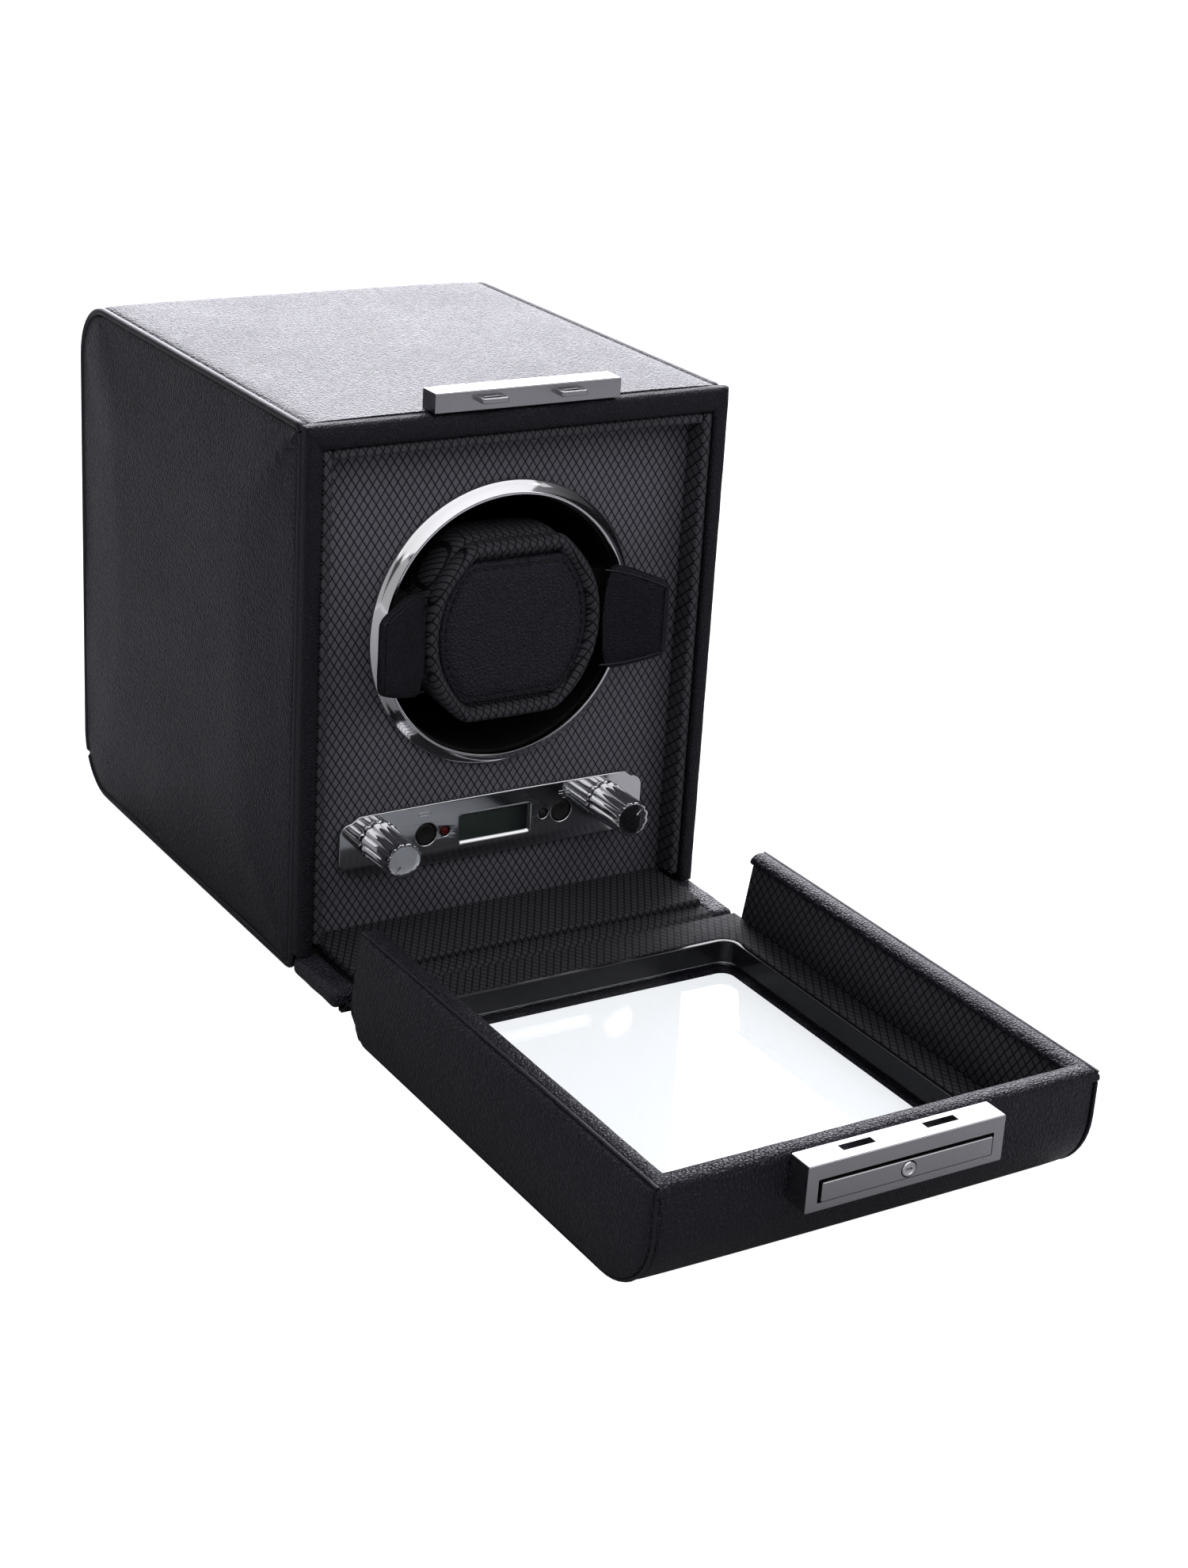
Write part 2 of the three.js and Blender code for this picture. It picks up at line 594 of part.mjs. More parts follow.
function buildPower() {
  const boxFront = 60;
  const boxBack = BACK - CARCASS_INSET - BACK_BOARD - GAP;
  const middle = (DOOR_BOTTOM + DOOR_TOP) / 2;
  const trayHalf = DOOR_HALF - 0.5;
  const tray = box(-trayHalf, trayHalf, boxFront, boxBack, DOOR_BOTTOM - 1, DOOR_TOP + 1);
  const hollow = box(-trayHalf + 1.5, trayHalf - 1.5, boxFront + 1.5, boxBack + 1, DOOR_BOTTOM, DOOR_TOP);
  add('battery_box', cut(tray, hollow), blackPlastic);

  const cellY = boxFront + 1.5 + GAP + CELL_RADIUS;
  for (const [name, side] of [['lower', -1], ['upper', 1]]) {
    const end = CELL_HALF;
    const profile = [
      [0, -end], [CELL_RADIUS, -end], [CELL_RADIUS, end], [2.6, end], [2.6, end + 1], [0, end + 1],
    ];
    const cell = turnY(profile, 0, 0, 20).rotateZ((side * Math.PI) / 2);
    add(`battery_${name}`, cell.translate(0, cellY, middle + side * (CELL_RADIUS + 0.15)), cellWrap);
  }

  // The door's lower edge is rounded about its own hinge line.
  const r = DOOR_THICK / 2;
  const pivotY = BACK - r;
  const pivotZ = DOOR_BOTTOM + r;
  const door = new THREE.Shape();
  door.moveTo(BACK, pivotZ);
  door.lineTo(BACK, DOOR_TOP);
  door.lineTo(BACK - DOOR_THICK, DOOR_TOP);
  door.lineTo(BACK - DOOR_THICK, pivotZ);
  door.absarc(pivotY, pivotZ, r, Math.PI, 2 * Math.PI);
  add('battery_door', extrudeX(door, -DOOR_HALF, DOOR_HALF), blackPlastic);

  const jackBack = BACK - 12;
  const jack = [
    [0, jackBack], [4.1, jackBack], [4.1, BACK], [2.9, BACK], [2.9, jackBack + 3], [1, jackBack + 3],
    [1, BACK - 1.5], [0, BACK - 1.5],
  ];
  add('dc_jack', turnY(jack, JACK_X, JACK_Z, 20), blackPlastic);
}

// ---- Cuff for the watch ----

function buildCuff() {
  const outer = bowedOutline(CUFF_HALF_X, CUFF_HALF_Z, CUFF_BOW, 4);
  const hole = bowedOutline(PANEL_HALF_X + GAP, PANEL_HALF_Z + GAP, PANEL_BOW + GAP, 3);
  const bolster = extrudeY(outer, CUFF_FRONT, CUFF_BACK, 2);
  add('cuff_roll', cut(bolster, extrudeY(hole, CUFF_FRONT - 1, CUFF_BACK + 1)), fabric);

  const core = bowedOutline(PANEL_HALF_X, PANEL_HALF_Z, PANEL_BOW, 3);
  const panelBack = CUFF_FRONT + 3;
  add('cuff_panel', extrudeY(core, CUFF_FRONT + 0.4, panelBack, 1), leather);
  add('cuff_core', extrudeY(core, panelBack + GAP, CUFF_BACK), fabric);

  for (const [name, side] of SIDES) {
    const r = WING_THICK / 2;
    const plan = new THREE.Shape();
    plan.moveTo(side * WING_ROOT, WING_Y + r);
    plan.lineTo(side * WING_TIP, WING_Y + r);
    plan.lineTo(side * WING_TIP, WING_Y - r);
    plan.lineTo(side * WING_ROOT, WING_Y - r);
    const from = side < 0 ? -Math.PI / 2 : 1.5 * Math.PI;
    plan.absarc(side * WING_ROOT, WING_Y, r, from, Math.PI / 2, side > 0);
    const outline = polygon([
      [side * 28, CUFF_Z - 17], [side * 38, CUFF_Z - 15.5], [side * 48, CUFF_Z - 12.5],
      [side * WING_TIP, CUFF_Z - 9.5], [side * WING_TIP, CUFF_Z + 9.5], [side * 48, CUFF_Z + 12.5],
      [side * 38, CUFF_Z + 15.5], [side * 28, CUFF_Z + 17],
    ]);
    const slab = extrudeZ(plan, CUFF_Z - 20, CUFF_Z + 20, 0, 6);
    const wing = common(slab, extrudeY(outline, WING_Y - 5, WING_Y + 5));
    wing.translate(-side * WING_ROOT, -WING_Y, 0).rotateZ(-side * WING_BEND);
    add(`wing_${name}`, wing.translate(side * WING_ROOT, WING_Y, 0), leather);
  }
}

// ---- Lid, lying open ----

// Side view of the lid: rounded at the near end, sloping and rounded at the hinge end.
function lidOutline(inset, hingePoints) {
  const r = LID_NEAR_RADIUS - inset;
  const shape = new THREE.Shape();
  const [first, ...rest] = hingePoints;
  shape.moveTo(...first);
  for (const point of rest) shape.lineTo(...point);
  shape.lineTo(LID_NEAR + inset, LID_BOARD_TOP);
  shape.absarc(LID_NEAR + LID_NEAR_RADIUS, LID_NEAR_RADIUS, r, Math.PI, 1.5 * Math.PI);
  return shape;
}

// The rounded rectangle of the window, grown by a margin.
function windowOutline(margin) {
  const half = WINDOW_HALF + margin;
  return roundedRect(-half, half, WINDOW_NEAR - margin, WINDOW_FAR + margin, WINDOW_RADIUS + margin);
}

const windowHole = (margin) => extrudeZ(windowOutline(margin), -5, 20, 0, 4);

function buildLid() {
  // The wall ends slope back from the hinge line so that the closed lid clears the sill.
  const padEnd = [
    [-126, 0], [-122.2, 1.7], [-120.2, 4.4], [-119.3, 8], [-117.5, LID_FLOOR], [-121.8, LID_BOARD_TOP],
  ];
  for (const [name, side] of SIDES) {
    const x0 = side < 0 ? -HALF_WIDTH : HALF_WIDTH - SIDE_PAD;
    add(`lid_side_${name}`, extrudeX(lidOutline(0, padEnd), x0, x0 + SIDE_PAD, 0.8), leather);
  }

  const squareEnd = [[LID_WRAP_END, 0], [LID_WRAP_END, LID_BOARD_TOP]];
  const sheet = extrudeX(lidOutline(0, squareEnd), -WALL_OUTER, WALL_OUTER);
  const hollow = lidOutline(SIDE_PAD, [[0, SIDE_PAD], [0, 60], [LID_NEAR + SIDE_PAD, 60]]);
  const wrap = cut(sheet, extrudeX(hollow, -HALF_WIDTH, HALF_WIDTH), windowHole(0));
  add('lid_wrap', wrap, leather);

  const trayInset = SIDE_PAD + GAP;
  const trayEnd = [
    [-121.4, trayInset], [-117.5, 3.4], [-115.2, 5.6], [LID_HINGE_LOW, 8.4], [LID_HINGE_LOW, 9], [-118.4, 9],
    [-122.8, LID_BOARD_TOP],
  ];
  const block = extrudeX(lidOutline(trayInset, trayEnd), -WALL_OUTER, WALL_OUTER);
  const wallInner = LID_INNER_HALF + LID_LINING + GAP;
  const nearInner = LID_NEAR + LID_WALL - LID_LINING - GAP;
  const bedTop = LID_FLOOR - 3;
  const bendY = nearInner + LID_INSIDE_RADIUS;
  const bendZ = bedTop + LID_INSIDE_RADIUS;
  const inside = new THREE.Shape();
  inside.moveTo(-100, bedTop);
  inside.lineTo(-100, 60);
  inside.lineTo(nearInner, 60);
  inside.absarc(bendY, bendZ, LID_INSIDE_RADIUS, Math.PI, 1.5 * Math.PI);
  const cavity = extrudeX(inside, -wallInner, wallInner);
  add('lid_tray', cut(block, cavity, windowHole(WINDOW_FRAME + 0.4 + GAP)), board);

  const floorHalf = wallInner - GAP;
  const floorPanel = roundedRect(-floorHalf, floorHalf, bendY - 1.3, LID_HINGE_LOW, 0.5);
  const floorPiece = extrudeZ(floorPanel, bedTop + GAP, LID_FLOOR, 0, 3);
  add('lid_lining_floor', cut(floorPiece, windowHole(WINDOW_FRAME + GAP)), fabric);

  const liningLow = LID_FLOOR + GAP;
  const liningNear = bendY + GAP;
  for (const [name, side] of SIDES) {
    const outline = polygon([[liningNear, liningLow], [-119.7, liningLow], [-123.6, LID_BOARD_TOP],
      [LID_NEAR + LID_WALL + GAP, LID_BOARD_TOP], [LID_NEAR + LID_WALL + GAP, bendZ]]);
    const x0 = side < 0 ? -LID_INNER_HALF - LID_LINING : LID_INNER_HALF;
    add(`lid_lining_${name}`, extrudeX(outline, x0, x0 + LID_LINING), fabric);
  }
  // The end lining follows the rounded corner down to the floor.
  const bend = Math.PI + 0.8;
  const end = new THREE.Shape();
  end.moveTo(nearInner + GAP, LID_BOARD_TOP);
  end.absarc(bendY, bendZ, LID_INSIDE_RADIUS - GAP, Math.PI, bend);
  end.absarc(bendY, bendZ, LID_INSIDE_RADIUS - GAP - LID_LINING, bend, Math.PI, true);
  end.lineTo(LID_NEAR + LID_WALL, LID_BOARD_TOP);
  add('lid_lining_end', extrudeX(end, -floorHalf, floorHalf, 0, 5), fabric);

  // Rolled leather along the top of the three walls.
  const low = LID_BOARD_TOP + GAP;
  const rollEnd = -123.5;
  const around = roundedRect(-HALF_WIDTH, HALF_WIDTH, LID_NEAR, rollEnd + 10, 3);
  const roll = extrudeZ(around, low, LID_WALL_TOP, 0.9, 3);
  const open = box(-LID_INNER_HALF, LID_INNER_HALF, LID_NEAR + LID_WALL, 0, 0, 60);
  const past = box(-80, 80, rollEnd, 0, 0, 60);
  add('lid_rim', cut(roll, open, past), leather);

  const pane = windowOutline(WINDOW_FRAME);
  add('window_glass', extrudeZ(pane, GLASS_BOTTOM, GLASS_TOP, 0, 4), glass);
  const frame = withHoles(windowOutline(WINDOW_FRAME), windowOutline(0));
  add('window_frame', extrudeZ(frame, GLASS_TOP + GAP, LID_FLOOR, 0, 4), glossPlastic);
}

// Strips of leather and fabric that join the lid to the case and bend with it.
function buildSoftHinge() {
  const half = HALF_WIDTH - 3;
  add('soft_hinge_outer', box(-half, half, LID_WRAP_END + GAP, -104, 0.4, 1.7), leather);
  const strip = polygon([
    [-113.9, 9.6], [-110.4, 7], [-107.9, 9], [-102.4, 9], [-102.4, 10], [-108.3, 10], [-110.4, 8.2],
    [-113.9, 11.2],
  ]);
  const innerHalf = SILL_BOARD_HALF - GAP;
  add('soft_hinge_inner', extrudeX(strip, -innerHalf, innerHalf), fabric);
}

// ---- Latch ----

function buildLatch() {
  const bottom = CASE_HEIGHT + GAP;
  const front = FRONT;
  const bar = roundedRect(-CATCH_HALF, CATCH_HALF, front, front + 8, 1);
  const body = extrudeZ(bar, bottom, bottom + 6, 0.5, 3);
  const loops = SIDES.map(([, side]) => {
    const x = side * CATCH_X;
    const tongue = roundedRect(x - 4.4, x + 4.4, front - 3.6, front + 3, 1);
    const eye = roundedRect(x - 2.6, x + 2.6, front - 2.3, front - 0.5, 0.4);
    return extrudeZ(withHoles(tongue, eye), CASE_HEIGHT + 3, CASE_HEIGHT + 4.5, 0, 3);
  });
  add('catch_plate', join(body, ...loops), steel);

  const back = LID_NEAR - GAP;
  const face = back - LATCH_DEPTH;
  const barLow = 25;
  const barHigh = 31.2;
  const recessBack = back - 4.4;
  const plan = roundedRect(-CATCH_HALF, CATCH_HALF, face, back, 1);
  const block = extrudeZ(plan, LATCH_BOTTOM, LID_WALL_TOP, 0.5, 3);
  const slots = SIDES.map(([, side]) => {
    const x = side * CATCH_X;
    return box(x - 5, x + 5, LID_NEAR - 5.1, LID_NEAR - 2.4, 31.8, LID_WALL_TOP + 1);
  });
  const recess = box(-27, 27, face - 1, recessBack, barLow, barHigh);
  const lockZ = (barLow + barHigh) / 2;
  add('latch_body', cut(block, ...slots, recess), steel);

  // The push bar carries the lock and stops short of the recess's back, so that both can move in.
  const barBack = face + 2.2;
  const push = box(-26.7, 26.7, face - 0.4, barBack, barLow + GAP, barHigh - GAP);
  add('latch_bar', cut(push, rodY(LOCK_RADIUS + GAP, face - 2, face + 5, 0, lockZ, 24)), steel);

  const barrel = rodY(LOCK_RADIUS, face - 0.9, barBack, 0, lockZ, 24);
  const keyway = box(-1.6, 1.6, face - 2, face + 1, lockZ - 0.4, lockZ + 0.4);
  add('lock_barrel', cut(barrel, keyway), chrome);
}

buildCase();
buildOpening();
buildSill();
buildFrontPanel();
buildControls();
buildRotor();
buildDrive();
buildPower();
buildCuff();
buildLid();
buildSoftHinge();
buildLatch();

export default model;
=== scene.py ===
"""Watch winder box: leather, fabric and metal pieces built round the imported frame."""

import math

import bmesh
import bpy
from mathutils import Matrix, Vector, noise


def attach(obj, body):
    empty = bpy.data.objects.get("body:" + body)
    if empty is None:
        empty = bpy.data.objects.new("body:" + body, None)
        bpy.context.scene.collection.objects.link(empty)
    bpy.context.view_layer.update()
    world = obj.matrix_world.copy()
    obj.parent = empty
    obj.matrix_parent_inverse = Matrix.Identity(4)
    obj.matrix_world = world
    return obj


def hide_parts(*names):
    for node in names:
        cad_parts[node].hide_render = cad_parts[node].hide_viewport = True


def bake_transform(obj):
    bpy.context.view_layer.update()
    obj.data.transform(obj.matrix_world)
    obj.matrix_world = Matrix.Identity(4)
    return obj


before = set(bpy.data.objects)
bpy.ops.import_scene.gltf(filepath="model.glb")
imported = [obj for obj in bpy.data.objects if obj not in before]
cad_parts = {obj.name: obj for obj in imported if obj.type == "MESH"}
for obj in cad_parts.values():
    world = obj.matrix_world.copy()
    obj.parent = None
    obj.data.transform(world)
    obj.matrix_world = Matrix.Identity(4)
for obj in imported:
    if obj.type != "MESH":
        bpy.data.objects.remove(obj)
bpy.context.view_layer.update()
MM = 0.001

# ---- Sizes in millimetres, in the frame of the CAD ----

HALF = 70.0  # half the width of case and lid
TOP, CASE_LOW = 171.0, 3.2  # the case stands on its pad
FRONT, BACK = -84.0, 84.0
REAR_RADIUS = 19.0
BODY_FRONT = -79.7  # the wrap and the side panels start behind the rim
OPENING, OPENING_TOP = 64.9, 163.9
AXIS_Z = 102.5  # rotor axis
PANEL = -74.0  # front of the inner panel
CUFF_Z = 103.0
PLATE_Z, PLATE_FRONT = 38.2, -75.8  # the control plate
KNOB = (39.7, 39.0)  # x and z of a knob
LID_NEAR, LID_TOP = -277.5, 35.7
LID_RADIUS = 22.0  # of the lid's lower near edge
LID_PAD_END = -122.4  # where the top edge of the lid's side pads ends
WINDOW = (-53, 53, -258.5, -130.0)  # the opening in the lid's floor: x, then y
KEY = (23.7, 38.4)  # x and z of a key
LAMP = (17.25, 38.4)  # x and z of an indicator lamp
DISPLAY = (-12.6, 12.6, 33.3, 43.1)  # the display window: x, then z
CATCH_X = 13.0  # of the two catch loops and their slots
LOCK_Z = 28.1  # of the lock's axis

scene = bpy.context.scene


# ---- Mesh helpers (all take millimetres) ----

def to_object(name, mesh):
    piece = bpy.data.objects.new(name, mesh)
    scene.collection.objects.link(piece)
    return piece


def mesh_object(name, points, faces):
    mesh = bpy.data.meshes.new(name)
    mesh.from_pydata([Vector(p) * MM for p in points], [], faces)
    mesh.validate()
    return to_object(name, mesh)


def outward(piece):
    work = bmesh.new()
    work.from_mesh(piece.data)
    bmesh.ops.remove_doubles(work, verts=work.verts, dist=1e-6)
    bmesh.ops.recalc_face_normals(work, faces=work.faces)
    work.to_mesh(piece.data)
    work.free()
    return piece


def loft(name, rings, cap=True):
    """Skin over closed rings of points that all have the same count."""
    count = len(rings[0])
    points = [p for ring in rings for p in ring]
    faces = []
    for i in range(len(rings) - 1):
        for j in range(count):
            k = (j + 1) % count
            faces.append((i * count + j, i * count + k, (i + 1) * count + k, (i + 1) * count + j))
    if cap:
        faces.append(tuple(reversed(range(count))))
        faces.append(tuple((len(rings) - 1) * count + j for j in range(count)))
    return outward(mesh_object(name, points, faces))


def baked(piece):
    """Applies the modifiers, and turns a curve into a mesh."""
    bpy.context.view_layer.update()
    graph = bpy.context.evaluated_depsgraph_get()
    mesh = bpy.data.meshes.new_from_object(piece.evaluated_get(graph), depsgraph=graph)
    if piece.type == "MESH":
        piece.modifiers.clear()
        piece.data = mesh
        return piece
    name = piece.name
    bpy.data.objects.remove(piece)
    mesh.name = name
    return to_object(name, mesh)


def modified(piece, kind, **settings):
    modifier = piece.modifiers.new(kind.lower(), kind)
    for key, value in settings.items():
        setattr(modifier, key, value)


def carved(piece, cutters):
    for cutter in cutters:
        modified(piece, "BOOLEAN", operation="DIFFERENCE", object=cutter, solver="EXACT")
    baked(piece)
    for cutter in cutters:
        bpy.data.objects.remove(cutter)


def smooth(piece, angle):
    mesh = piece.data
    mesh.polygons.foreach_set("use_smooth", [True] * len(mesh.polygons))
    mesh.set_sharp_from_angle(angle=math.radians(angle))
    mesh.update()


def hard(piece, angle):
    """Smooth edges with flat faces that stay flat in reflections."""
    smooth(piece, angle)
    modified(piece, "WEIGHTED_NORMAL", mode="FACE_AREA", weight=80, keep_sharp=True)
    baked(piece)


def sliced(work, axis, places, slack):
    """Cuts all faces at each place (in metres) along an axis."""
    for place in places:
        at, normal = Vector((0, 0, 0)), Vector((0, 0, 0))
        at[axis], normal[axis] = place, 1
        geometry = list(work.verts) + list(work.edges) + list(work.faces)
        bmesh.ops.bisect_plane(work, geom=geometry, plane_co=at, plane_no=normal, dist=slack)


def soft_box(name, x, y, z, radius, segments=3, cuts=0):
    """A box with rounded edges, cut up finely enough to be shaped."""
    work = bmesh.new()
    bmesh.ops.create_cube(work, size=1)
    size = Vector((x[1] - x[0], y[1] - y[0], z[1] - z[0]))
    middle = Vector((x[0] + x[1], y[0] + y[1], z[0] + z[1])) / 2
    for vertex in work.verts:
        vertex.co = Vector(a * b for a, b in zip(vertex.co, size)) * MM + middle * MM
    bmesh.ops.bevel(work, geom=work.edges, offset=radius * MM, segments=segments, profile=0.5, affect="EDGES")
    for axis in range(3):
        if cuts and size[axis] >= 6:
            places = [(middle * MM)[axis] + size[axis] * MM * (i / cuts - 0.5) for i in range(1, cuts)]
            sliced(work, axis, places, 1e-7)
    mesh = bpy.data.meshes.new(name)
    work.to_mesh(mesh)
    work.free()
    return to_object(name, mesh)


def between(a, b, t):
    return (a[0] + (b[0] - a[0]) * t, a[1] + (b[1] - a[1]) * t)


def circle(u, v, r, count=48):
    turn = [2 * math.pi * i / count for i in range(count)]
    return [(u + r * math.cos(a), v + r * math.sin(a)) for a in turn]


def turned(name, profile, x, z, segments):
    """Turns (radius, y) points about a line along Y, with a flat face at both ends."""
    return loft(name, [[(u, y, v) for u, v in circle(x, z, radius, segments)] for radius, y in profile])


def rod(name, radius, y0, y1, x, z, segments=32):
    return turned(name, [(radius, y0), (radius, y1)], x, z, segments)


def rounded(u0, u1, v0, v1, radii, inset=0.0, arc=8, side=6):
    """Outline of a rectangle, anticlockwise from the lower left, with the same points at any inset."""
    r = [max(radius - inset, 0.02) for radius in radii]
    a0, a1, b0, b1 = u0 + inset, u1 - inset, v0 + inset, v1 - inset
    centres = [(a0 + r[0], b0 + r[0]), (a1 - r[1], b0 + r[1]), (a1 - r[2], b1 - r[2]), (a0 + r[3], b1 - r[3])]
    points = []
    for corner, (cu, cv) in enumerate(centres):
        start = math.pi + corner * math.pi / 2
        for i in range(arc + 1):
            angle = start + (math.pi / 2) * i / arc
            points.append((cu + r[corner] * math.cos(angle), cv + r[corner] * math.sin(angle)))
        nu, nv = centres[(corner + 1) % 4]
        nr = r[(corner + 1) % 4]
        first = (nu + nr * math.cos(start + math.pi / 2), nv + nr * math.sin(start + math.pi / 2))
        last = points[-1]
        points += [between(last, first, i / side) for i in range(1, side)]
    return points


def flat_curve(name, outlines, depth, bevel, plane, at, rounds=2):
    """A slab from (u, v) outlines, the inner ones being holes. at is the middle of its thickness."""
    curve = bpy.data.curves.new(name, "CURVE")
    curve.dimensions = "2D"
    curve.fill_mode = "BOTH"
    curve.extrude = (depth / 2 - bevel) * MM
    curve.bevel_depth = bevel * MM
    curve.bevel_resolution = rounds
    curve.offset = -bevel * MM
    for outline in outlines:
        spline = curve.splines.new("POLY")
        spline.points.add(len(outline) - 1)
        for point, (u, v) in zip(spline.points, outline):
            point.co = (u * MM, v * MM, 0, 1)
        spline.use_cyclic_u = True
    piece = to_object(name, curve)
    if plane == "xz":
        piece.matrix_world = Matrix.Translation((0, at * MM, 0)) @ Matrix.Rotation(math.pi / 2, 4, "X")
    else:
        piece.matrix_world = Matrix.Translation((0, 0, at * MM))
    world = piece.matrix_world.copy()
    piece = baked(piece)
    piece.data.transform(world)
    return outward(piece)


def tube(name, points, radius, closed=False, sides=10):
    """A round cord along points."""
    path = [Vector(p) for p in points]
    count = len(path)
    rings = []
    for i, here in enumerate(path):
        before = path[i - 1] if closed or i else here
        after = path[(i + 1) % count] if closed or i < count - 1 else here
        along = (after - before).normalized()
        guide = Vector((0, 0, 1)) if abs(along.z) < 0.9 else Vector((0, 1, 0))
        across = along.cross(guide).normalized()
        up = across.cross(along).normalized()
        turn = [2 * math.pi * j / sides for j in range(sides)]
        rings.append([here + across * radius * math.cos(a) + up * radius * math.sin(a) for a in turn])
    if closed:
        rings.append(rings[0])
    return loft(name, rings, cap=not closed)


def joined(name, pieces):
    mesh = bpy.data.meshes.new(name)
    work = bmesh.new()
    for piece in pieces:
        work.from_mesh(piece.data)
    work.to_mesh(mesh)
    work.free()
    for piece in pieces:
        bpy.data.objects.remove(piece)
    return to_object(name, mesh)


def rumpled(piece, strength, size, axis_scale=(1, 1, 1)):
    """Moves every point a little along its normal by smooth noise."""
    mesh = piece.data
    for vertex in mesh.vertices:
        at = Vector(a * s for a, s in zip(vertex.co, axis_scale)) / (size * MM)
        vertex.co += vertex.normal * noise.noise(at) * strength * MM
    mesh.update()
    return piece


def inflated(piece, pressure, cap, pin):
    """Cloth with inner pressure. No point moves further than cap, and pin tells which ones are held."""
    stiffness, frames = 8, 14
    start = [vertex.co.copy() for vertex in piece.data.vertices]
    scene.frame_set(1)
    cloth = piece.modifiers.new("cloth", "CLOTH")
    cloth.settings.quality = 4
    cloth.settings.mass = 0.3
    cloth.settings.tension_stiffness = stiffness
    cloth.settings.compression_stiffness = stiffness
    cloth.settings.use_pressure = True
    cloth.settings.uniform_pressure_force = pressure
    cloth.settings.effector_weights.gravity = 0
    cloth.collision_settings.use_collision = False
    group = piece.vertex_groups.new(name="pin")
    group.add([i for i, co in enumerate(start) if pin(co / MM)], 1.0, "REPLACE")
    cloth.settings.vertex_group_mass = "pin"
    for number in range(1, frames + 1):
        scene.frame_set(number)
    graph = bpy.context.evaluated_depsgraph_get()
    moved = [vertex.co.copy() for vertex in piece.evaluated_get(graph).data.vertices]
    piece.modifiers.remove(cloth)
    piece.vertex_groups.clear()
    scene.frame_set(1)
    for vertex, old, new in zip(piece.data.vertices, start, moved):
        step = new - old
        if step.length > cap * MM:
            step = step.normalized() * cap * MM
        vertex.co = old + step
    piece.data.update()


# ---- Materials ----

class Tree:
    """Short names for building the nodes of a material, or of the world."""

    def __init__(self, name, world=False):
        self.material = (bpy.data.worlds if world else bpy.data.materials).new(name)
        self.material.use_nodes = True
        self.nodes = self.material.node_tree.nodes
        self.links = self.material.node_tree.links
        self.shader = self.nodes["Background" if world else "Principled BSDF"]
        self.where = self.nodes.new("ShaderNodeTexCoord").outputs["Object"]

    def feed(self, value, socket):
        if isinstance(value, bpy.types.NodeSocket):
            self.links.new(value, socket)
        else:
            socket.default_value = value

    def node(self, kind, output, inputs=None, **settings):
        made = self.nodes.new("ShaderNode" + kind)
        for key, value in settings.items():
            setattr(made, key, value)
        for key, value in (inputs or {}).items():
            self.feed(value, made.inputs[key])
        return made.outputs[output]

    def math(self, operation, a, b):
        return self.node("Math", 0, {0: a, 1: b}, operation=operation)

    def noise(self, scale, detail=2.0, vector=None):
        inputs = {"Vector": vector or self.where, "Scale": scale, "Detail": detail}
        return self.node("TexNoise", "Fac", inputs)

    def stretched(self, scale):
        return self.node("Mapping", 0, {"Vector": self.where, "Scale": scale})

    def ramp(self, value, low, high, out_low=0.0, out_high=1.0, **settings):
        inputs = {"Value": value, "From Min": low, "From Max": high, "To Min": out_low, "To Max": out_high}
        return self.node("MapRange", 0, inputs, **settings)

    def mix(self, factor, a, b):
        made = self.nodes.new("ShaderNodeMix")
        made.data_type = "RGBA"
        self.feed(factor, made.inputs[0])
        for value, socket in ((a, made.inputs[6]), (b, made.inputs[7])):
            self.feed((*value, 1) if isinstance(value, tuple) else value, socket)
        return made.outputs[2]

    def set(self, **values):
        for key, value in values.items():
            socket = self.shader.inputs[key.replace("_", " ")]
            self.feed((*value, 1) if isinstance(value, tuple) and len(value) == 3 else value, socket)

    def bump(self, height, strength, distance, after=None):
        inputs = {"Height": height, "Strength": strength, "Distance": distance * MM}
        if after is not None:
            inputs["Normal"] = after
        return self.node("Bump", 0, inputs)


def leather_material(name, grain, depth, rough, light, dark=0.005, shine=0.5, stretch=(1, 1, 1)):
    """Pebbled black leather: small rounded cells parted by fine creases, over softer waves."""
    t = Tree(name)
    where = t.stretched(stretch)
    swirl = t.node("TexNoise", "Color", {"Vector": where, "Scale": 900.0, "Detail": 1.0})
    sway = t.node("VectorMath", 0, {0: swirl, 1: (0.0006, 0.0006, 0.0006)}, operation="MULTIPLY")
    bent = t.node("VectorMath", 0, {0: where, 1: sway}, operation="ADD")
    edge = t.node("TexVoronoi", "Distance", {"Vector": bent, "Scale": 1000 / grain, "Randomness": 1.0},
                  feature="DISTANCE_TO_EDGE")
    cells = t.ramp(edge, 0.0, 0.30)
    fine = t.noise(2600.0)
    wide = t.noise(38.0, 3.0)
    height = t.math("ADD", t.math("MULTIPLY", cells, 0.8), t.math("MULTIPLY", fine, 0.35))
    shade = t.math("MULTIPLY", t.ramp(cells, 0, 1, 0.55, 1.0), t.ramp(wide, 0.3, 0.7, 0.92, 1.08))
    colour = t.mix(shade, (dark * 0.5, dark * 0.48, dark * 0.65), (light, light * 0.94, light * 1.4))
    roughness = t.math("ADD", t.ramp(fine, 0.2, 0.8, -0.05, 0.05),
                       t.ramp(wide, 0.3, 0.7, rough - 0.02, rough + 0.02))
    t.set(Base_Color=colour, Roughness=roughness, Specular_IOR_Level=shine, Specular_Tint=(0.88, 0.86, 1.0))
    t.set(Normal=t.bump(height, 0.9, depth, t.bump(t.noise(160.0), 0.5, 0.12)))
    return t.material


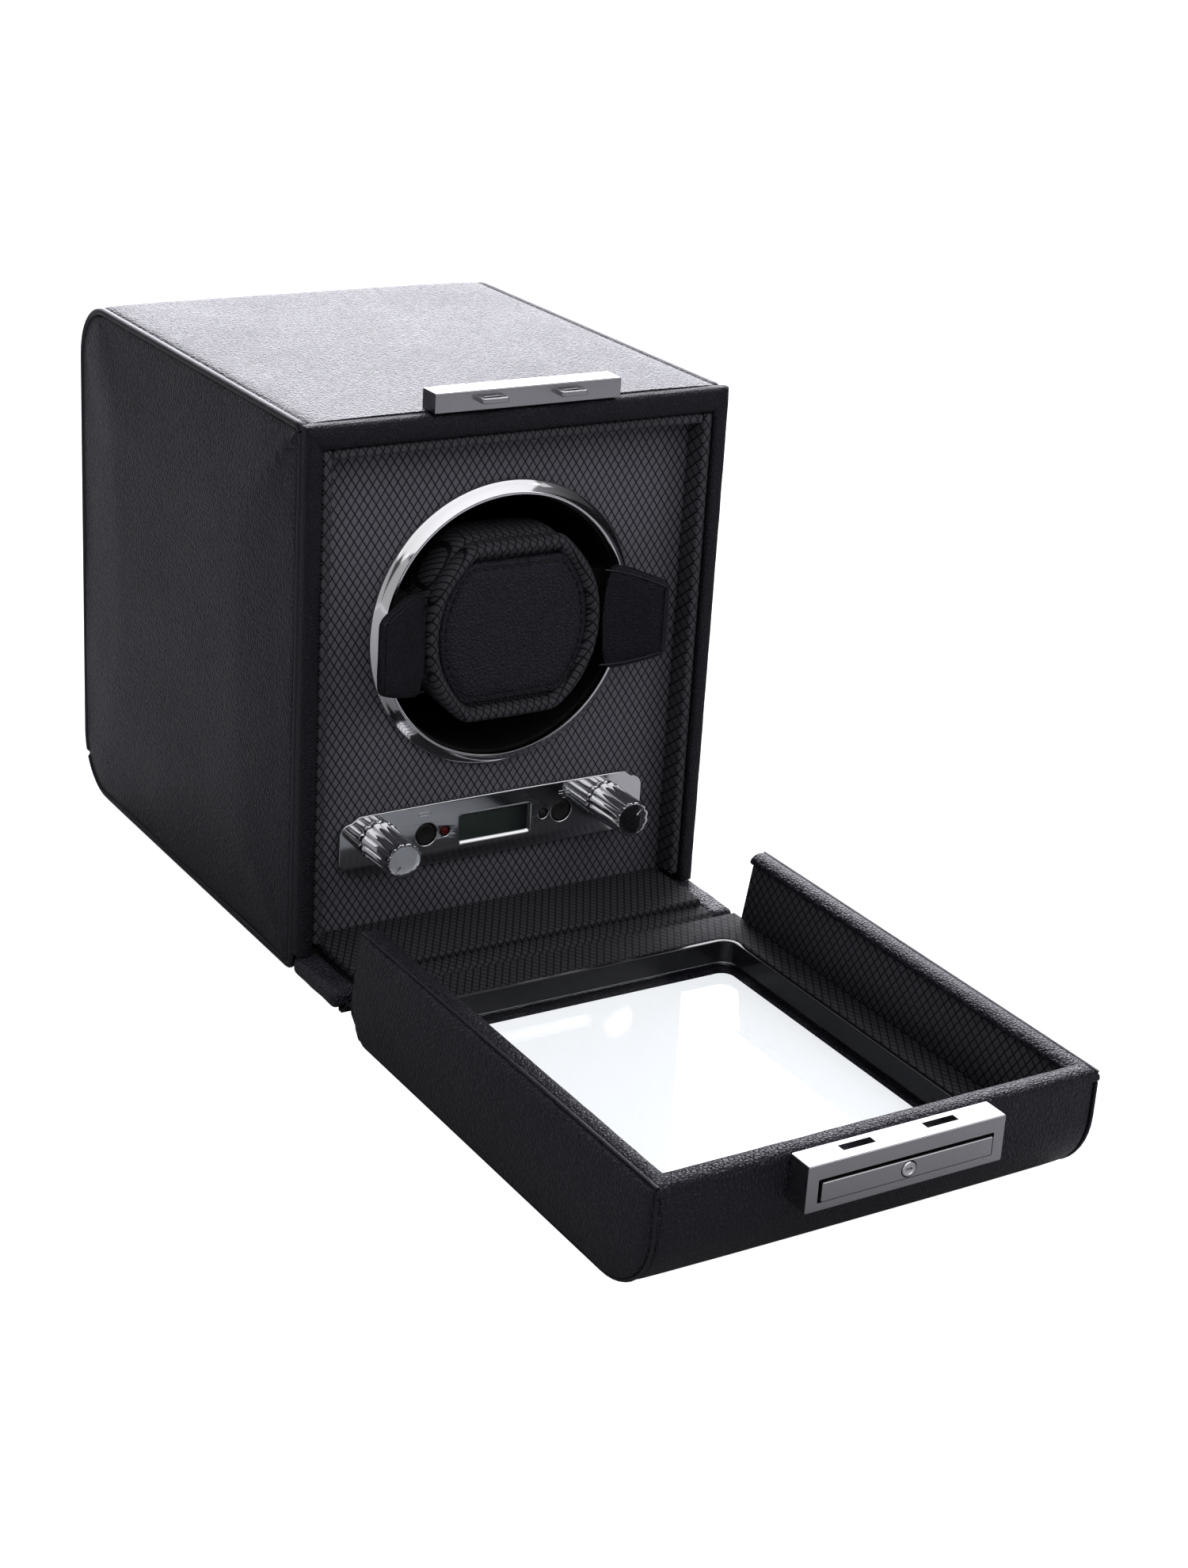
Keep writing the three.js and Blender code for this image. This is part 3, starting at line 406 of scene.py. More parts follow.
def lattice_material(name, u, v, width=2.7, tall=4.1, tone=0.075, thin=0.05):
    """Woven fabric with a net of thin black diamonds. u and v are weights for (x, y, z)."""
    t = Tree(name)

    def along(weights):
        return t.node("VectorMath", "Value", {0: t.where, 1: tuple(w / MM for w in weights)},
                      operation="DOT_PRODUCT")

    across, up = along(u), along(v)
    a = t.math("DIVIDE", across, width)
    b = t.math("DIVIDE", up, tall)
    net = t.math("MINIMUM", t.math("PINGPONG", t.math("ADD", a, b), 0.5),
                 t.math("PINGPONG", t.math("SUBTRACT", a, b), 0.5))
    line = t.ramp(net, thin, thin + 0.055)
    rib = t.math("PINGPONG", t.math("DIVIDE", up, 0.42), 0.5)
    warp = t.math("PINGPONG", t.math("DIVIDE", across, 0.55), 0.5)
    fuzz, patch = t.noise(900.0), t.noise(30.0)
    weave = t.math("ADD", t.math("MULTIPLY", rib, 1.1), t.math("MULTIPLY", warp, 0.5))
    value = t.math("MULTIPLY", t.ramp(weave, 0.0, 0.8, 0.72, 1.2), t.ramp(patch, 0.3, 0.7, 0.9, 1.1))
    fill = t.mix(value, (0.012, 0.012, 0.014), (tone, tone, tone * 1.16))
    colour = t.mix(line, (0.0045, 0.0045, 0.006), fill)
    t.set(Base_Color=colour, Roughness=t.ramp(fuzz, 0.3, 0.7, 0.6, 0.75), Specular_IOR_Level=0.22)
    height = t.math("ADD", line, t.math("MULTIPLY", weave, 0.5))
    t.set(Normal=t.bump(height, 0.7, 0.14))
    return t.material


def metal_material(name, colour=(0.78, 0.78, 0.80), rough=0.07, brushed=None, smear=0.03):
    """Polished or brushed metal with faint smears."""
    t = Tree(name)
    smears = t.ramp(t.noise(60.0, 4.0), 0.35, 0.7, 0.0, smear)
    roughness = t.math("ADD", smears, rough)
    if brushed is not None:
        lines = t.noise(1.0, 3.0, t.stretched(brushed))
        roughness = t.math("ADD", roughness, t.math("MULTIPLY", lines, 0.10))
        t.set(Normal=t.bump(lines, 0.25, 0.05))
    shade = t.ramp(t.noise(25.0), 0.3, 0.7)
    t.set(Base_Color=t.mix(shade, tuple(c * 0.93 for c in colour), colour), Metallic=1.0, Roughness=roughness)
    return t.material


def plain_material(name, colour, rough, speckle=0.03, grain=400.0, depth=0.03):
    """Moulded plastic, rubber, board and the like: slight unevenness in colour, gloss and surface."""
    t = Tree(name)
    spots = t.noise(grain, 3.0)
    both = t.math("MULTIPLY", t.math("ADD", spots, t.noise(20.0)), 0.5)
    low = tuple(max(c * 0.85 - 0.002, 0) for c in colour)
    high = tuple(c * 1.12 + 0.002 for c in colour)
    t.set(Base_Color=t.mix(t.ramp(both, 0.3, 0.7), low, high), Normal=t.bump(spots, 0.3, depth))
    t.set(Roughness=t.ramp(spots, 0.3, 0.7, rough - speckle, rough + speckle))
    return t.material


LEATHER_TOP = leather_material("leather_top", grain=1.3, depth=0.5, rough=0.40, light=0.02, shine=0.6)
LEATHER_SIDE = leather_material("leather_side", grain=1.1, depth=0.42, stretch=(1, 1, 0.62), rough=0.40,
                                light=0.014, shine=0.4)
LEATHER_FLAT = leather_material("leather_flat", grain=1.0, depth=0.22, rough=0.48, dark=0.003, light=0.007,
                                shine=0.35)
LEATHER_CUFF = leather_material("leather_cuff", grain=1.2, depth=0.35, rough=0.55, dark=0.004, light=0.017,
                                shine=0.4)
PIPING = leather_material("piping", grain=0.6, depth=0.05, dark=0.003, light=0.006, rough=0.38)
FABRIC_FRONT = lattice_material("fabric_front", (1, 0, 0), (0, 0, 1), tone=0.16)
# The floor copy has a lower tone than the other copies of this fabric, so that it stays dark under the bright
# light from behind: painted shade.
FABRIC_FLOOR = lattice_material("fabric_floor", (1, 0, 0), (0, 1, 1), width=2.5, tone=0.05, thin=0.08)
FABRIC_SIDE = lattice_material("fabric_side", (1, 1, 0), (0, 0.3, 1), width=3.6, thin=0.06)
FABRIC_LINER = lattice_material("fabric_liner", (1, 0.5, 0), (0, 0, 1), tone=0.07)
FABRIC_CUFF = lattice_material("fabric_cuff", (1, 0.35, 0), (0, 0.45, 1), width=2.5, tall=3.6, tone=0.06,
                               thin=0.07)
CHROME = metal_material("chrome")
LATCH = metal_material("latch_metal", (0.42, 0.42, 0.44), 0.16, brushed=(12.0, 900.0, 900.0), smear=0.08)
STEEL = metal_material("steel", (0.5, 0.5, 0.52), 0.3, brushed=(300.0, 12.0, 300.0))
BLACK = plain_material("black_plastic", (0.012, 0.012, 0.014), 0.45)
CUP = plain_material("cup_black", (0.004, 0.004, 0.005), 0.6)
GLOSS = plain_material("gloss_plastic", (0.008, 0.008, 0.010), 0.12, 0.02)
WHITE = plain_material("white_plastic", (0.7, 0.69, 0.65), 0.5)
BOARD = plain_material("fibreboard", (0.02, 0.018, 0.017), 0.9, 0.05, 900.0, depth=0.1)
CIRCUIT = plain_material("circuit_board", (0.03, 0.14, 0.07), 0.4, 0.05, 250.0)
CELL = plain_material("cell_wrap", (0.08, 0.09, 0.10), 0.3)
RUBBER = plain_material("rubber", (0.012, 0.012, 0.012), 0.85, 0.05, 700.0, depth=0.1)
THREAD = plain_material("thread", (0.003, 0.003, 0.004), 0.7, 0.05, 1500.0, depth=0.05)
LED_RED = plain_material("led_red", (0.10, 0.006, 0.006), 0.15, 0.02)
LED_OFF = plain_material("groove", (0.004, 0.004, 0.004), 0.6)


def screen_material():
    """Liquid-crystal glass: grey-green, darker towards its right edge, in a black case."""
    t = Tree("screen")
    x = t.node("SeparateXYZ", 0, {0: t.where})
    y = t.node("SeparateXYZ", 1, {0: t.where})
    side = t.ramp(x, 0.004, 0.0125)
    glass = t.mix(side, (0.030, 0.042, 0.038), (0.006, 0.007, 0.008))
    front = t.math("LESS_THAN", y, (PLATE_FRONT + 2) * MM)
    t.set(Base_Color=t.mix(front, (0.01, 0.01, 0.01), glass))
    t.set(Roughness=t.ramp(t.noise(500.0), 0.3, 0.7, 0.16, 0.2))
    return t.material


def glass_material():
    """Clear acrylic. It lets shadow rays through, so that the table under it stays lit."""
    t = Tree("window_glass")
    t.set(Base_Color=(0.93, 0.95, 0.97), Transmission_Weight=1.0, IOR=1.46)
    t.set(Roughness=t.ramp(t.noise(30.0, 3.0), 0.4, 0.8, 0.005, 0.03))
    clear = t.node("BsdfTransparent", 0, {"Color": (0.93, 0.95, 0.97, 1)})
    shadow = t.node("LightPath", "Is Shadow Ray")
    mixed = t.node("MixShader", 0, {0: shadow, 1: t.shader.outputs[0], 2: clear})
    t.links.new(mixed, t.nodes["Material Output"].inputs["Surface"])
    return t.material


SCREEN = screen_material()
GLASS = glass_material()


def dress(piece, body, slot, material, replaces=(), angle=40):
    """Gives a piece its finish and its body. Metal, glass and plastic keep flat faces flat."""
    piece.data.materials.clear()
    piece.data.materials.append(material)
    if slot in ("leather", "fabric"):
        smooth(piece, angle)
    else:
        hard(piece, angle)
    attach(piece, body)
    if replaces:
        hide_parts(*replaces)


SIDES = (("left", -1), ("right", 1))


# ---- Case ----

def case_outline(inset, front=BODY_FRONT, corner=4.0):
    """(y, z) side view of the case: nearly square at the front, rounded at the back."""
    radii = (corner, REAR_RADIUS, REAR_RADIUS, corner)
    return rounded(front, BACK, CASE_LOW, TOP, radii, inset, arc=12, side=16)


def crowned_panel(name, outline, side, base, steps, crown, reach, grid=4.0):
    """A padded panel. Its edge follows (inset, how far out) steps, and inside them the face swells by crown
    over about reach, on a grid of small faces."""
    rings = [[(side * base, y, z) for y, z in outline(steps[0][0])]]
    rings += [[(side * out, y, z) for y, z in outline(inset)] for inset, out in steps]
    panel = loft(name, rings)
    work = bmesh.new()
    work.from_mesh(panel.data)
    inset, face = steps[-1]
    edge = [Vector(p) for p in outline(inset)]
    for axis, values in ((1, [p.x for p in edge]), (2, [p.y for p in edge])):
        low, high = min(values), max(values)
        count = int((high - low) / grid)
        sliced(work, axis, [(low + (high - low) * i / count) * MM for i in range(1, count)], 1e-6)
    segments = list(zip(edge, edge[1:] + edge[:1]))
    for vertex in work.verts:
        x, y, z = vertex.co / MM
        if abs(abs(x) - face) > 0.01:
            continue
        here = Vector((y, z))
        near = min(distance_to(here, a, b) for a, b in segments)
        vertex.co.x = side * (face + crown * (1 - math.exp(-near / reach))) * MM
    work.to_mesh(panel.data)
    work.free()
    return panel


def distance_to(point, a, b):
    along = b - a
    if along.length < 1e-6:
        return (point - a).length
    t = max(0.0, min(1.0, (point - a).dot(along) / along.length_squared))
    return (point - a - along * t).length


PANEL_STEPS = [(2.0, 68.4), (2.0, 68.9), (2.3, 69.4), (3.0, 69.9), (4.2, 70.3), (6, 70.6)]


def mirrored(half, middle):
    """(x, height) points across the box, from its left half."""
    return [*half, middle, *((-x, h) for x, h in reversed(half))]


def build_case():
    for name, side in SIDES:
        panel = crowned_panel(f"side_pad_{name}", case_outline, side, 68.2, PANEL_STEPS, 0.7, 10)
        inflated(panel, 1.5, 1.0, pin=lambda co: abs(co.x) < 70.25)
        rumpled(panel, 0.35, 34)
        dress(panel, "case", "leather", LEATHER_SIDE, [f"side_panel_{name}"], 60)
        for kind, x, inset, radius, finish in (("piping", 69.0, 1.3, 1.25, PIPING),
                                               ("seam", 68.1, 0.75, 0.45, LEATHER_TOP)):
            line = [(side * x, y, z) for y, z in case_outline(inset)]
            dress(tube(f"side_{kind}_{name}", line, radius, closed=True), "case", "leather", finish)

    # The wrap: a leather sheet along the outline, sinking at the seams beside the piping.
    outer, inner = case_outline(0, -80.0, 0.6), case_outline(1.4, -81.4, 0.6)
    start = min(range(len(outer)), key=lambda i: (outer[i][1], outer[i][0]))
    outer, inner = outer[start:] + outer[:start], inner[start:] + inner[:start]
    last = max(i for i, (_, z) in enumerate(outer) if z > TOP - 0.01)
    across = mirrored([(-67.6, -0.9), (-66.8, -0.2), (-65, 0.1), (-60, 0.25), (-45, 0.4), (-25, 0.45)],
                      (0, 0.45))
    rings = []
    for (y, z), (iy, iz) in zip(outer[:last + 1], inner):
        out = Vector((0, y - iy, z - iz)).normalized()
        skin = [Vector((x, y, z)) + out * h for x, h in across]
        lining = [Vector((x, iy, iz)) for x, _ in reversed(across)]
        rings.append(skin + lining)
    wrap = loft("case_leather", rings)
    carved(wrap, [soft_box("door_cut", (-31.4, 31.4), (70, 90), (24.6, 54.4), 0.8),
                  rod("jack_cut", 4.4, 70, 90, -48, 38)])
    dress(wrap, "case", "leather", LEATHER_TOP, ["case_wrap"], 50)

    pad = soft_box("foot_pad", (-62, 62), (-72, 66), (0.05, 2.9), 1.2)
    dress(pad, "case", "rubber", RUBBER, ["base_pad"])


def mitred(stations, count, crease):
    """(outer, inner, sink) at count steps along each of three legs. At both corners there is one for each
    (how far before the corner, how deep) of the crease."""
    for leg, ((o0, i0), (o1, i1)) in enumerate(zip(stations, stations[1:])):
        for k in range(min(leg, 1), count + 1):
            for before, sink in crease if k == count and leg < 2 else [(0, 0.0)]:
                t = k / count - before
                yield between(o0, o1, t), between(i0, i1, t), sink


def rim_section(outer, inner, sink):
    """One cut through the rim's leather edging, from its outer side round the front to the inside."""
    shape = [(0.0, -80.05), (0.0, -81.6), (0.03, -82.7), (0.12, -83.5), (0.26, -83.95), (0.5, -84.05),
             (0.78, -84.0), (0.93, -83.7), (1.0, -83.0), (1.0, -80.05)]
    points = []
    for s, y in shape:
        x, z = between(outer, inner, s)
        points.append((x, y + (sink if y < -83 else 0), z))
    return points


def build_opening():
    low = 9.9
    stations = [((-HALF, low), (-OPENING, low)), ((-HALF, TOP), (-OPENING, OPENING_TOP)),
                ((HALF, TOP), (OPENING, OPENING_TOP)), ((HALF, low), (OPENING, low))]
    cuts = mitred(stations, 40, ((0.004, 0.0), (0.001, 0.5)))
    rim = loft("rim_leather", [rim_section(*cut) for cut in cuts])
    rumpled(rim, 0.10, 6)
    dress(rim, "case", "leather", LEATHER_FLAT, ["front_rim"], 50)

    half = OPENING - 0.3
    for name, side in SIDES:
        x = sorted((side * (half - 3), side * half))
        liner = soft_box(f"liner_cloth_{name}", x, (-83, -74.3), (12.3, 163.6), 0.9)
        dress(liner, "case", "fabric", FABRIC_LINER, [f"liner_{name}"])
    liner = soft_box("liner_cloth_top", (-61.3, 61.3), (-83, -74.3), (160.6, 163.6), 0.9)
    dress(liner, "case", "fabric", FABRIC_LINER, ["liner_top"])


def build_sill():
    """Leather strips at both sides, a leather nose between them and the fabric-covered board on it."""
    for name, side in SIDES:
        x = sorted((side * 61.5, side * HALF))
        strip = soft_box(f"sill_strip_{name}", x, (-107.6, -80.2), (3.3, 9.5), 2.2, 5, cuts=14)
        rumpled(strip, 0.45, 5, (1, 0.6, 1))
        dress(strip, "case", "leather", LEATHER_TOP, angle=70)
    nose = soft_box("sill_nose", (-61.6, 61.6), (-107.4, -80.2), (3.3, 8.7), 1.8, 4)
    dress(nose, "case", "leather", LEATHER_FLAT, ["sill_frame"])

    deck = soft_box("sill_cloth", (-61.2, 61.2), (-102, -74.3), (9.0, 12.0), 1.0, 4)
    dress(deck, "case", "fabric", FABRIC_FLOOR, ["sill_board"])
    beads = []
    for _, side in SIDES:
        for i in range(13):
            y = -100.6 + i * 2.1
            beads.append(tube("bead", [(side * 61.3, y, 11.1), (side * 61.45, y + 0.7, 11.3),
                                       (side * 61.3, y + 1.4, 11.1)], 0.28, sides=6))
    stitches = joined("sill_stitches", beads)
    dress(stitches, "case", "fabric", THREAD)


def build_front_panel():
    sheet = soft_box("panel_cloth", (-64.6, 64.6), (PANEL, PANEL + 3), (9.3, 163.8), 0.5)
    cutters = [rod("cup_cut", 42.0, PANEL - 5, PANEL + 8, 0, AXIS_Z, 96),
               soft_box("screen_cut", (-12.9, 12.9), (PANEL - 5, PANEL + 8), (33, 43.4), 0.4)]
    for _, side in SIDES:
        for (x, z), radius in ((KNOB, 3.4), (KEY, 3.9), (LAMP, 1.8)):
            cutters.append(rod("round_cut", radius, PANEL - 5, PANEL + 8, side * x, z))
    carved(sheet, cutters)
    dress(sheet, "case", "fabric", FABRIC_FRONT, ["front_panel"], 30)

    foot, lip = PANEL - 0.3, FRONT + 6.3
    profile = [(44.5, foot), (44.7, foot - 0.3), (44.6, foot - 0.7), (44.35, foot - 1.0), (43.4, foot - 1.65),
               (42.3, foot - 2.35), (41.5, lip + 0.15), (41.2, lip), (40.8, lip), (40.55, lip + 0.12),
               (40.4, lip + 0.45), (40.4, lip + 1.4), (41.0, lip + 1.6), (42.4, foot - 0.6), (42.7, foot)]
    rings = []
    for c, s in circle(0, 0, 1, 160):
        rings.append([(r * c, y, AXIS_Z + r * s) for r, y in profile])
    ring = loft("ring", [*rings, rings[0]], cap=False)
    dress(ring, "case", "chrome", CHROME, ["bezel_ring"], 35)


# ---- Controls ----

def plate_outline():
    """High in the middle and lower at both rounded ends."""
    half, middle, ends, shoulder, r = 53, 9.75, 8, 46.5, 4.0
    quarter = [(shoulder * i / 8, middle + 0.3 * (1 - (i / 8) ** 2)) for i in range(9)]
    for i in range(9):
        a = math.pi / 2 * (1 - i / 8)
        quarter.append((half - r + r * math.cos(a), ends - r + r * math.sin(a)))
    full = quarter + [(u, -v) for u, v in reversed(quarter)]
    full += [(-u, v) for u, v in reversed(full[1:-1])]
    return [(u, PLATE_Z + v) for u, v in full]


def knob_mesh(name, side, pointer):
    """Fluted knob. Ring radii follow a row of broad flutes that fade out at the cap and the foot."""
    flutes, radius, groove, points = 12, 6.15, 0.75, 120
    front, foot = FRONT - 8.3, PLATE_FRONT - 0.25
    # (y, radius as a share of the knob's, how much of the flutes is left)
    stations = [(foot, 0.80, 0), (foot, 0.98, 0.3), (foot - 0.5, 1.04, 0.7), (foot - 1.3, 1.04, 1),
                (foot - 2.0, 1.0, 1), (foot - 6, 0.985, 1), (foot - 11, 0.97, 1), (front + 1.6, 0.96, 1),
                (front + 0.7, 0.95, 1), (front + 0.25, 0.92, 0.7), (front + 0.02, 0.86, 0.25),
                (front - 0.02, 0.8, 0), (front - 0.07, 0.55, 0), (front - 0.1, 0.25, 0),
                (front - 0.11, 0.02, 0)]
    rings = []
    for y, scale, depth in stations:
        ring = []
        for i in range(points):
            a = 2 * math.pi * i / points
            wave = abs(math.sin(a * flutes / 2))
            r = radius * scale - groove * depth * (1 - wave) ** 1.6
            ring.append((side * KNOB[0] + r * math.cos(a), y, KNOB[1] + r * math.sin(a)))
        rings.append(ring)
    knob = loft(name, rings)
    notch = soft_box("notch", (1.9, 4.9), (front - 1, front + 0.55), (-0.42, 0.42), 0.3)
    notch.data.transform(Matrix.Rotation(-pointer, 4, "Y"))
    notch.data.transform(Matrix.Translation(Vector((side * KNOB[0], 0, KNOB[1])) * MM))
    carved(knob, [notch])
    return knob


def build_controls():
    def display(inset=0.0):
        return rounded(*DISPLAY, (0.8,) * 4, inset)

    holes = [display()]
    for _, side in SIDES:
        holes += [circle(side * x, z, radius) for (x, z), radius in ((KNOB, 3.3), (KEY, 3.6), (LAMP, 1.65))]
    plate = flat_curve("plate", [plate_outline(), *holes], 1.2, 0.35, "xz", PLATE_FRONT + 0.6, 3)
    dress(plate, "case", "chrome", CHROME, ["control_plate"], 35)

    front, back = PLATE_FRONT - 0.12, PLATE_FRONT + 0.62
    steps = ((0.02, back), (0.02, front), (0.2, front + 0.05), (0.75, back), (0.02, back))
    rings = [[(u, y, v) for u, v in display(inset)] for inset, y in steps]
    dress(loft("screen_frame", rings, cap=False), "case", "chrome", CHROME)

    arm, wide = 2.0, 0.45
    cross = [(arm, wide), (wide, wide), (wide, arm), (-wide, arm), (-wide, wide), (-arm, wide), (-arm, -wide),
             (-wide, -wide), (-wide, -arm), (wide, -arm), (wide, -wide), (arm, -wide)]
    dash = rounded(-2.0, 2.0, -0.5, 0.5, (0.3,) * 4)
    marks = []
    for name, outline, x, z in (("minus", dash, -24.6, 45.2), ("plus", cross, 24.4, 44.6)):
        line = [(u + x, PLATE_FRONT - 0.05, v + z) for u, v in outline]
        marks.append(tube(name, line, 0.13, closed=True, sides=6))
    dress(joined("key_marks", marks), "case", "chrome", LATCH)

    for name, side, body, pointer in (("left", -1, "direction_knob", -2.4), ("right", 1, "power_knob", 0.75)):
        knob = knob_mesh(f"chrome_knob_{name}", side, pointer)
        dress(knob, body, "chrome", CHROME, [f"knob_{name}"], 35)


# ---- Cuff ----

def bowed(half_x, half_z, bow, r):
    """Flat at the top and the bottom, bowed at the sides, with rounded corners."""
    steps, corner, flat = 9, 5, 8
    lean = math.asin((half_z - r) / (bow - r))
    corner_x = half_x - bow + (bow - r) * math.cos(lean)
    quarter = []
    for i in range(steps + 1):
        a = lean * i / steps
        quarter.append((half_x - bow + bow * math.cos(a), bow * math.sin(a)))
    for i in range(1, corner + 1):
        a = lean + (math.pi / 2 - lean) * i / corner
        quarter.append((corner_x + r * math.cos(a), half_z - r + r * math.sin(a)))
    for i in range(1, flat + 1):
        quarter.append((corner_x * (1 - i / flat), half_z))
    back = list(reversed(quarter))
    full = quarter + [(-u, v) for u, v in back[1:-1]] + [(-u, -v) for u, v in quarter[:-1]]
    full += [(u, -v) for u, v in back[:-1]]
    seen = []
    for point in full:
        if not seen or (Vector(point) - Vector(seen[-1])).length > 1e-4:
            seen.append(point)
    return seen


def cuff_ring(inset, y, rise=0.0):
    """One cut across the cuff's fabric body, whose upper side rises in the middle."""
    half = 29.7
    points = bowed(half - inset, 27.7 - inset, 33.7 - inset, max(6.5 - inset * 0.5, 3.5))
    return [(u, y, CUFF_Z + v + (rise * math.cos(u / half * math.pi / 2) if v > 0 else 0)) for u, v in points]


def build_cuff():
    roll = [(4.4, -79.6), (4.35, -81.0), (3.9, -82.2), (3.0, -83.1), (2.0, -83.45), (1.0, -83.1),
            (0.25, -82.1), (-0.1, -80.7), (-0.1, -79.2), (0.2, -77.8), (0.8, -76.8), (1.5, -76.3)]
    body = [(0.9, -75.7, 0.2), (0.5, -74.6, 0.5), (0.4, -72, 0.9), (0.5, -68, 1.2), (0.9, -64, 1.2),
            (1.8, -60, 1.0), (3.0, -56.5, 0.6), (4.8, -53.5, 0.3), (7.5, -51.2, 0), (11, -50.0, 0),
            (15, -49.4, 0)]
    cuff = loft("cuff_cloth", [cuff_ring(*cut) for cut in roll + body])
    inflated(cuff, 2.0, 0.5, pin=lambda co: co.y < -79 and abs(co.x) < 25.5 and abs(co.z - CUFF_Z) < 23.6)
    rumpled(cuff, 0.25, 9)
    dress(cuff, "cuff", "fabric", FABRIC_CUFF, ["cuff_roll", "cuff_core"], 60)

    def face(inset, y):
        outline = bowed(25.1 - inset, 21.9 - inset, 31.7 - inset, max(4 - inset * 0.3, 1))
        return [(u, y, CUFF_Z + v) for u, v in outline]

    steps = [(0, -79.8), (0, -80.9), (0.3, -81.5), (0.9, -81.9), (1.5, -82.0), (1.9, -81.8), (2.3, -82.0),
             (3.2, -82.4), (5, -82.6), (8, -82.7), (12, -82.75), (16, -82.8), (20, -82.8)]
    panel = loft("cuff_leather", [face(*step) for step in steps])
    rumpled(panel, 0.12, 9)
    dress(panel, "cuff", "leather", LEATHER_CUFF, ["cuff_panel"], 60)

    # Stitches along the seam, each from one hole over a low arch to the next.
    line = [Vector(p) for p in face(1.9, -81.95)]
    total, marks = 0.0, [0.0]
    for a, b in zip(line, line[1:] + line[:1]):
        total += (b - a).length
        marks.append(total)

    def at(distance):
        distance %= total
        for i, mark in enumerate(marks[1:]):
            if distance <= mark:
                part = (distance - marks[i]) / (mark - marks[i])
                return line[i].lerp(line[(i + 1) % len(line)], part)
        return line[0]

    count, steps = 50, ((-0.95, 0.1), (0, -0.3), (0.95, 0.1))
    stitches = []
    for i in range(count):
        middle = total * i / count
        arch = [at(middle + step) + Vector((0, sink, 0)) for step, sink in steps]
        stitches.append(tube("stitch", arch, 0.34, sides=6))
    dress(joined("cuff_stitches", stitches), "cuff", "leather", THREAD)

    for name, side in SIDES:
        wing = wing_mesh(f"wing_leather_{name}", side)
        dress(wing, f"cuff_wing_{name}", "leather", LEATHER_FLAT, [f"wing_{name}"], 50)
        edge = tube(f"wing_edge_{name}", wing_loop(side, 1.5, -83.25), 0.3, sides=6)
        dress(edge, f"cuff_wing_{name}", "leather", PIPING)


WING_BEND, WING_TIP = 0.45, 50.9


def bent(side, point):
    """Turns a point of the flat wing about its root line."""
    turn = Matrix.Rotation(-side * WING_BEND, 4, "Z")
    root = Vector((side * 32, -81.9, 0))
    return turn @ (Vector(point) - root) + root


def wing_outline(inset):
    """Half heights along the wing, from its root to its tip."""
    shape = [(30.6, 16.6), (34, 16.3), (38, 15.6), (42, 14.5), (46, 13.2), (49, 12.0), (50.6, 10.6),
             (WING_TIP, 8.6)]
    return [(min(x, WING_TIP - inset), max(h - inset, 0.4)) for x, h in shape]


def wing_loop(side, inset, y):
    half = wing_outline(inset)
    loop = half + [(x, -h) for x, h in reversed(half)]
    return [bent(side, (side * x, y, CUFF_Z + h)) for x, h in loop]


def wing_mesh(name, side):
    steps = ((0.3, -80.7), (0, -81.2), (0, -82.2), (0.3, -82.9), (0.9, -83.25), (1.7, -83.1), (2.3, -83.2),
             (4, -83.35), (7, -83.4))
    wing = loft(name, [wing_loop(side, *step) for step in steps])
    modified(wing, "SUBSURF", levels=1, render_levels=1)
    baked(wing)
    return rumpled(wing, 0.35, 7, (1, 1, 0.6))


# ---- Lid ----

def lid_outline(inset):
    """(y, z) side view of the lid's side pads: up at the hinge end, along the top to the near end, round the
    lower near edge and back along the bottom. The insets used are all smaller than the radius."""
    top, foot, long = LID_TOP - 0.3, -126, 24
    far = [(foot, 0), (-122.2, 1.7), (-120.2, 4.4), (-119.3, 8), (-117.5, 12), (-119.6, 22),
           (LID_PAD_END, top)]
    near, high, r = LID_NEAR + inset, top - inset, LID_RADIUS
    hinge_end = [between(a, b, k / 3) for a, b in zip(far, far[1:]) for k in range(3)]
    points = [(y - inset, min(max(z, inset), high)) for y, z in [*hinge_end, far[-1]]]
    for i in range(1, long):
        y = LID_PAD_END + (LID_NEAR - LID_PAD_END) * i / long
        points.append((min(max(y, near), LID_PAD_END - inset), high))
    points += [(near, high - (high - r) * i / 4) for i in range(4)]
    for i in range(13):
        a = math.pi + math.pi / 2 * i / 12
        points.append((LID_NEAR + r + (r - inset) * math.cos(a), r + (r - inset) * math.sin(a)))
    points += [(LID_NEAR + r + (foot - LID_NEAR - r - inset) * i / long, inset) for i in range(1, long)]
    return points


LID_STEPS = [(0.9, 68.4), (0.9, 68.9), (1.2, 69.5), (1.9, 70.0), (3.0, 70.4)]


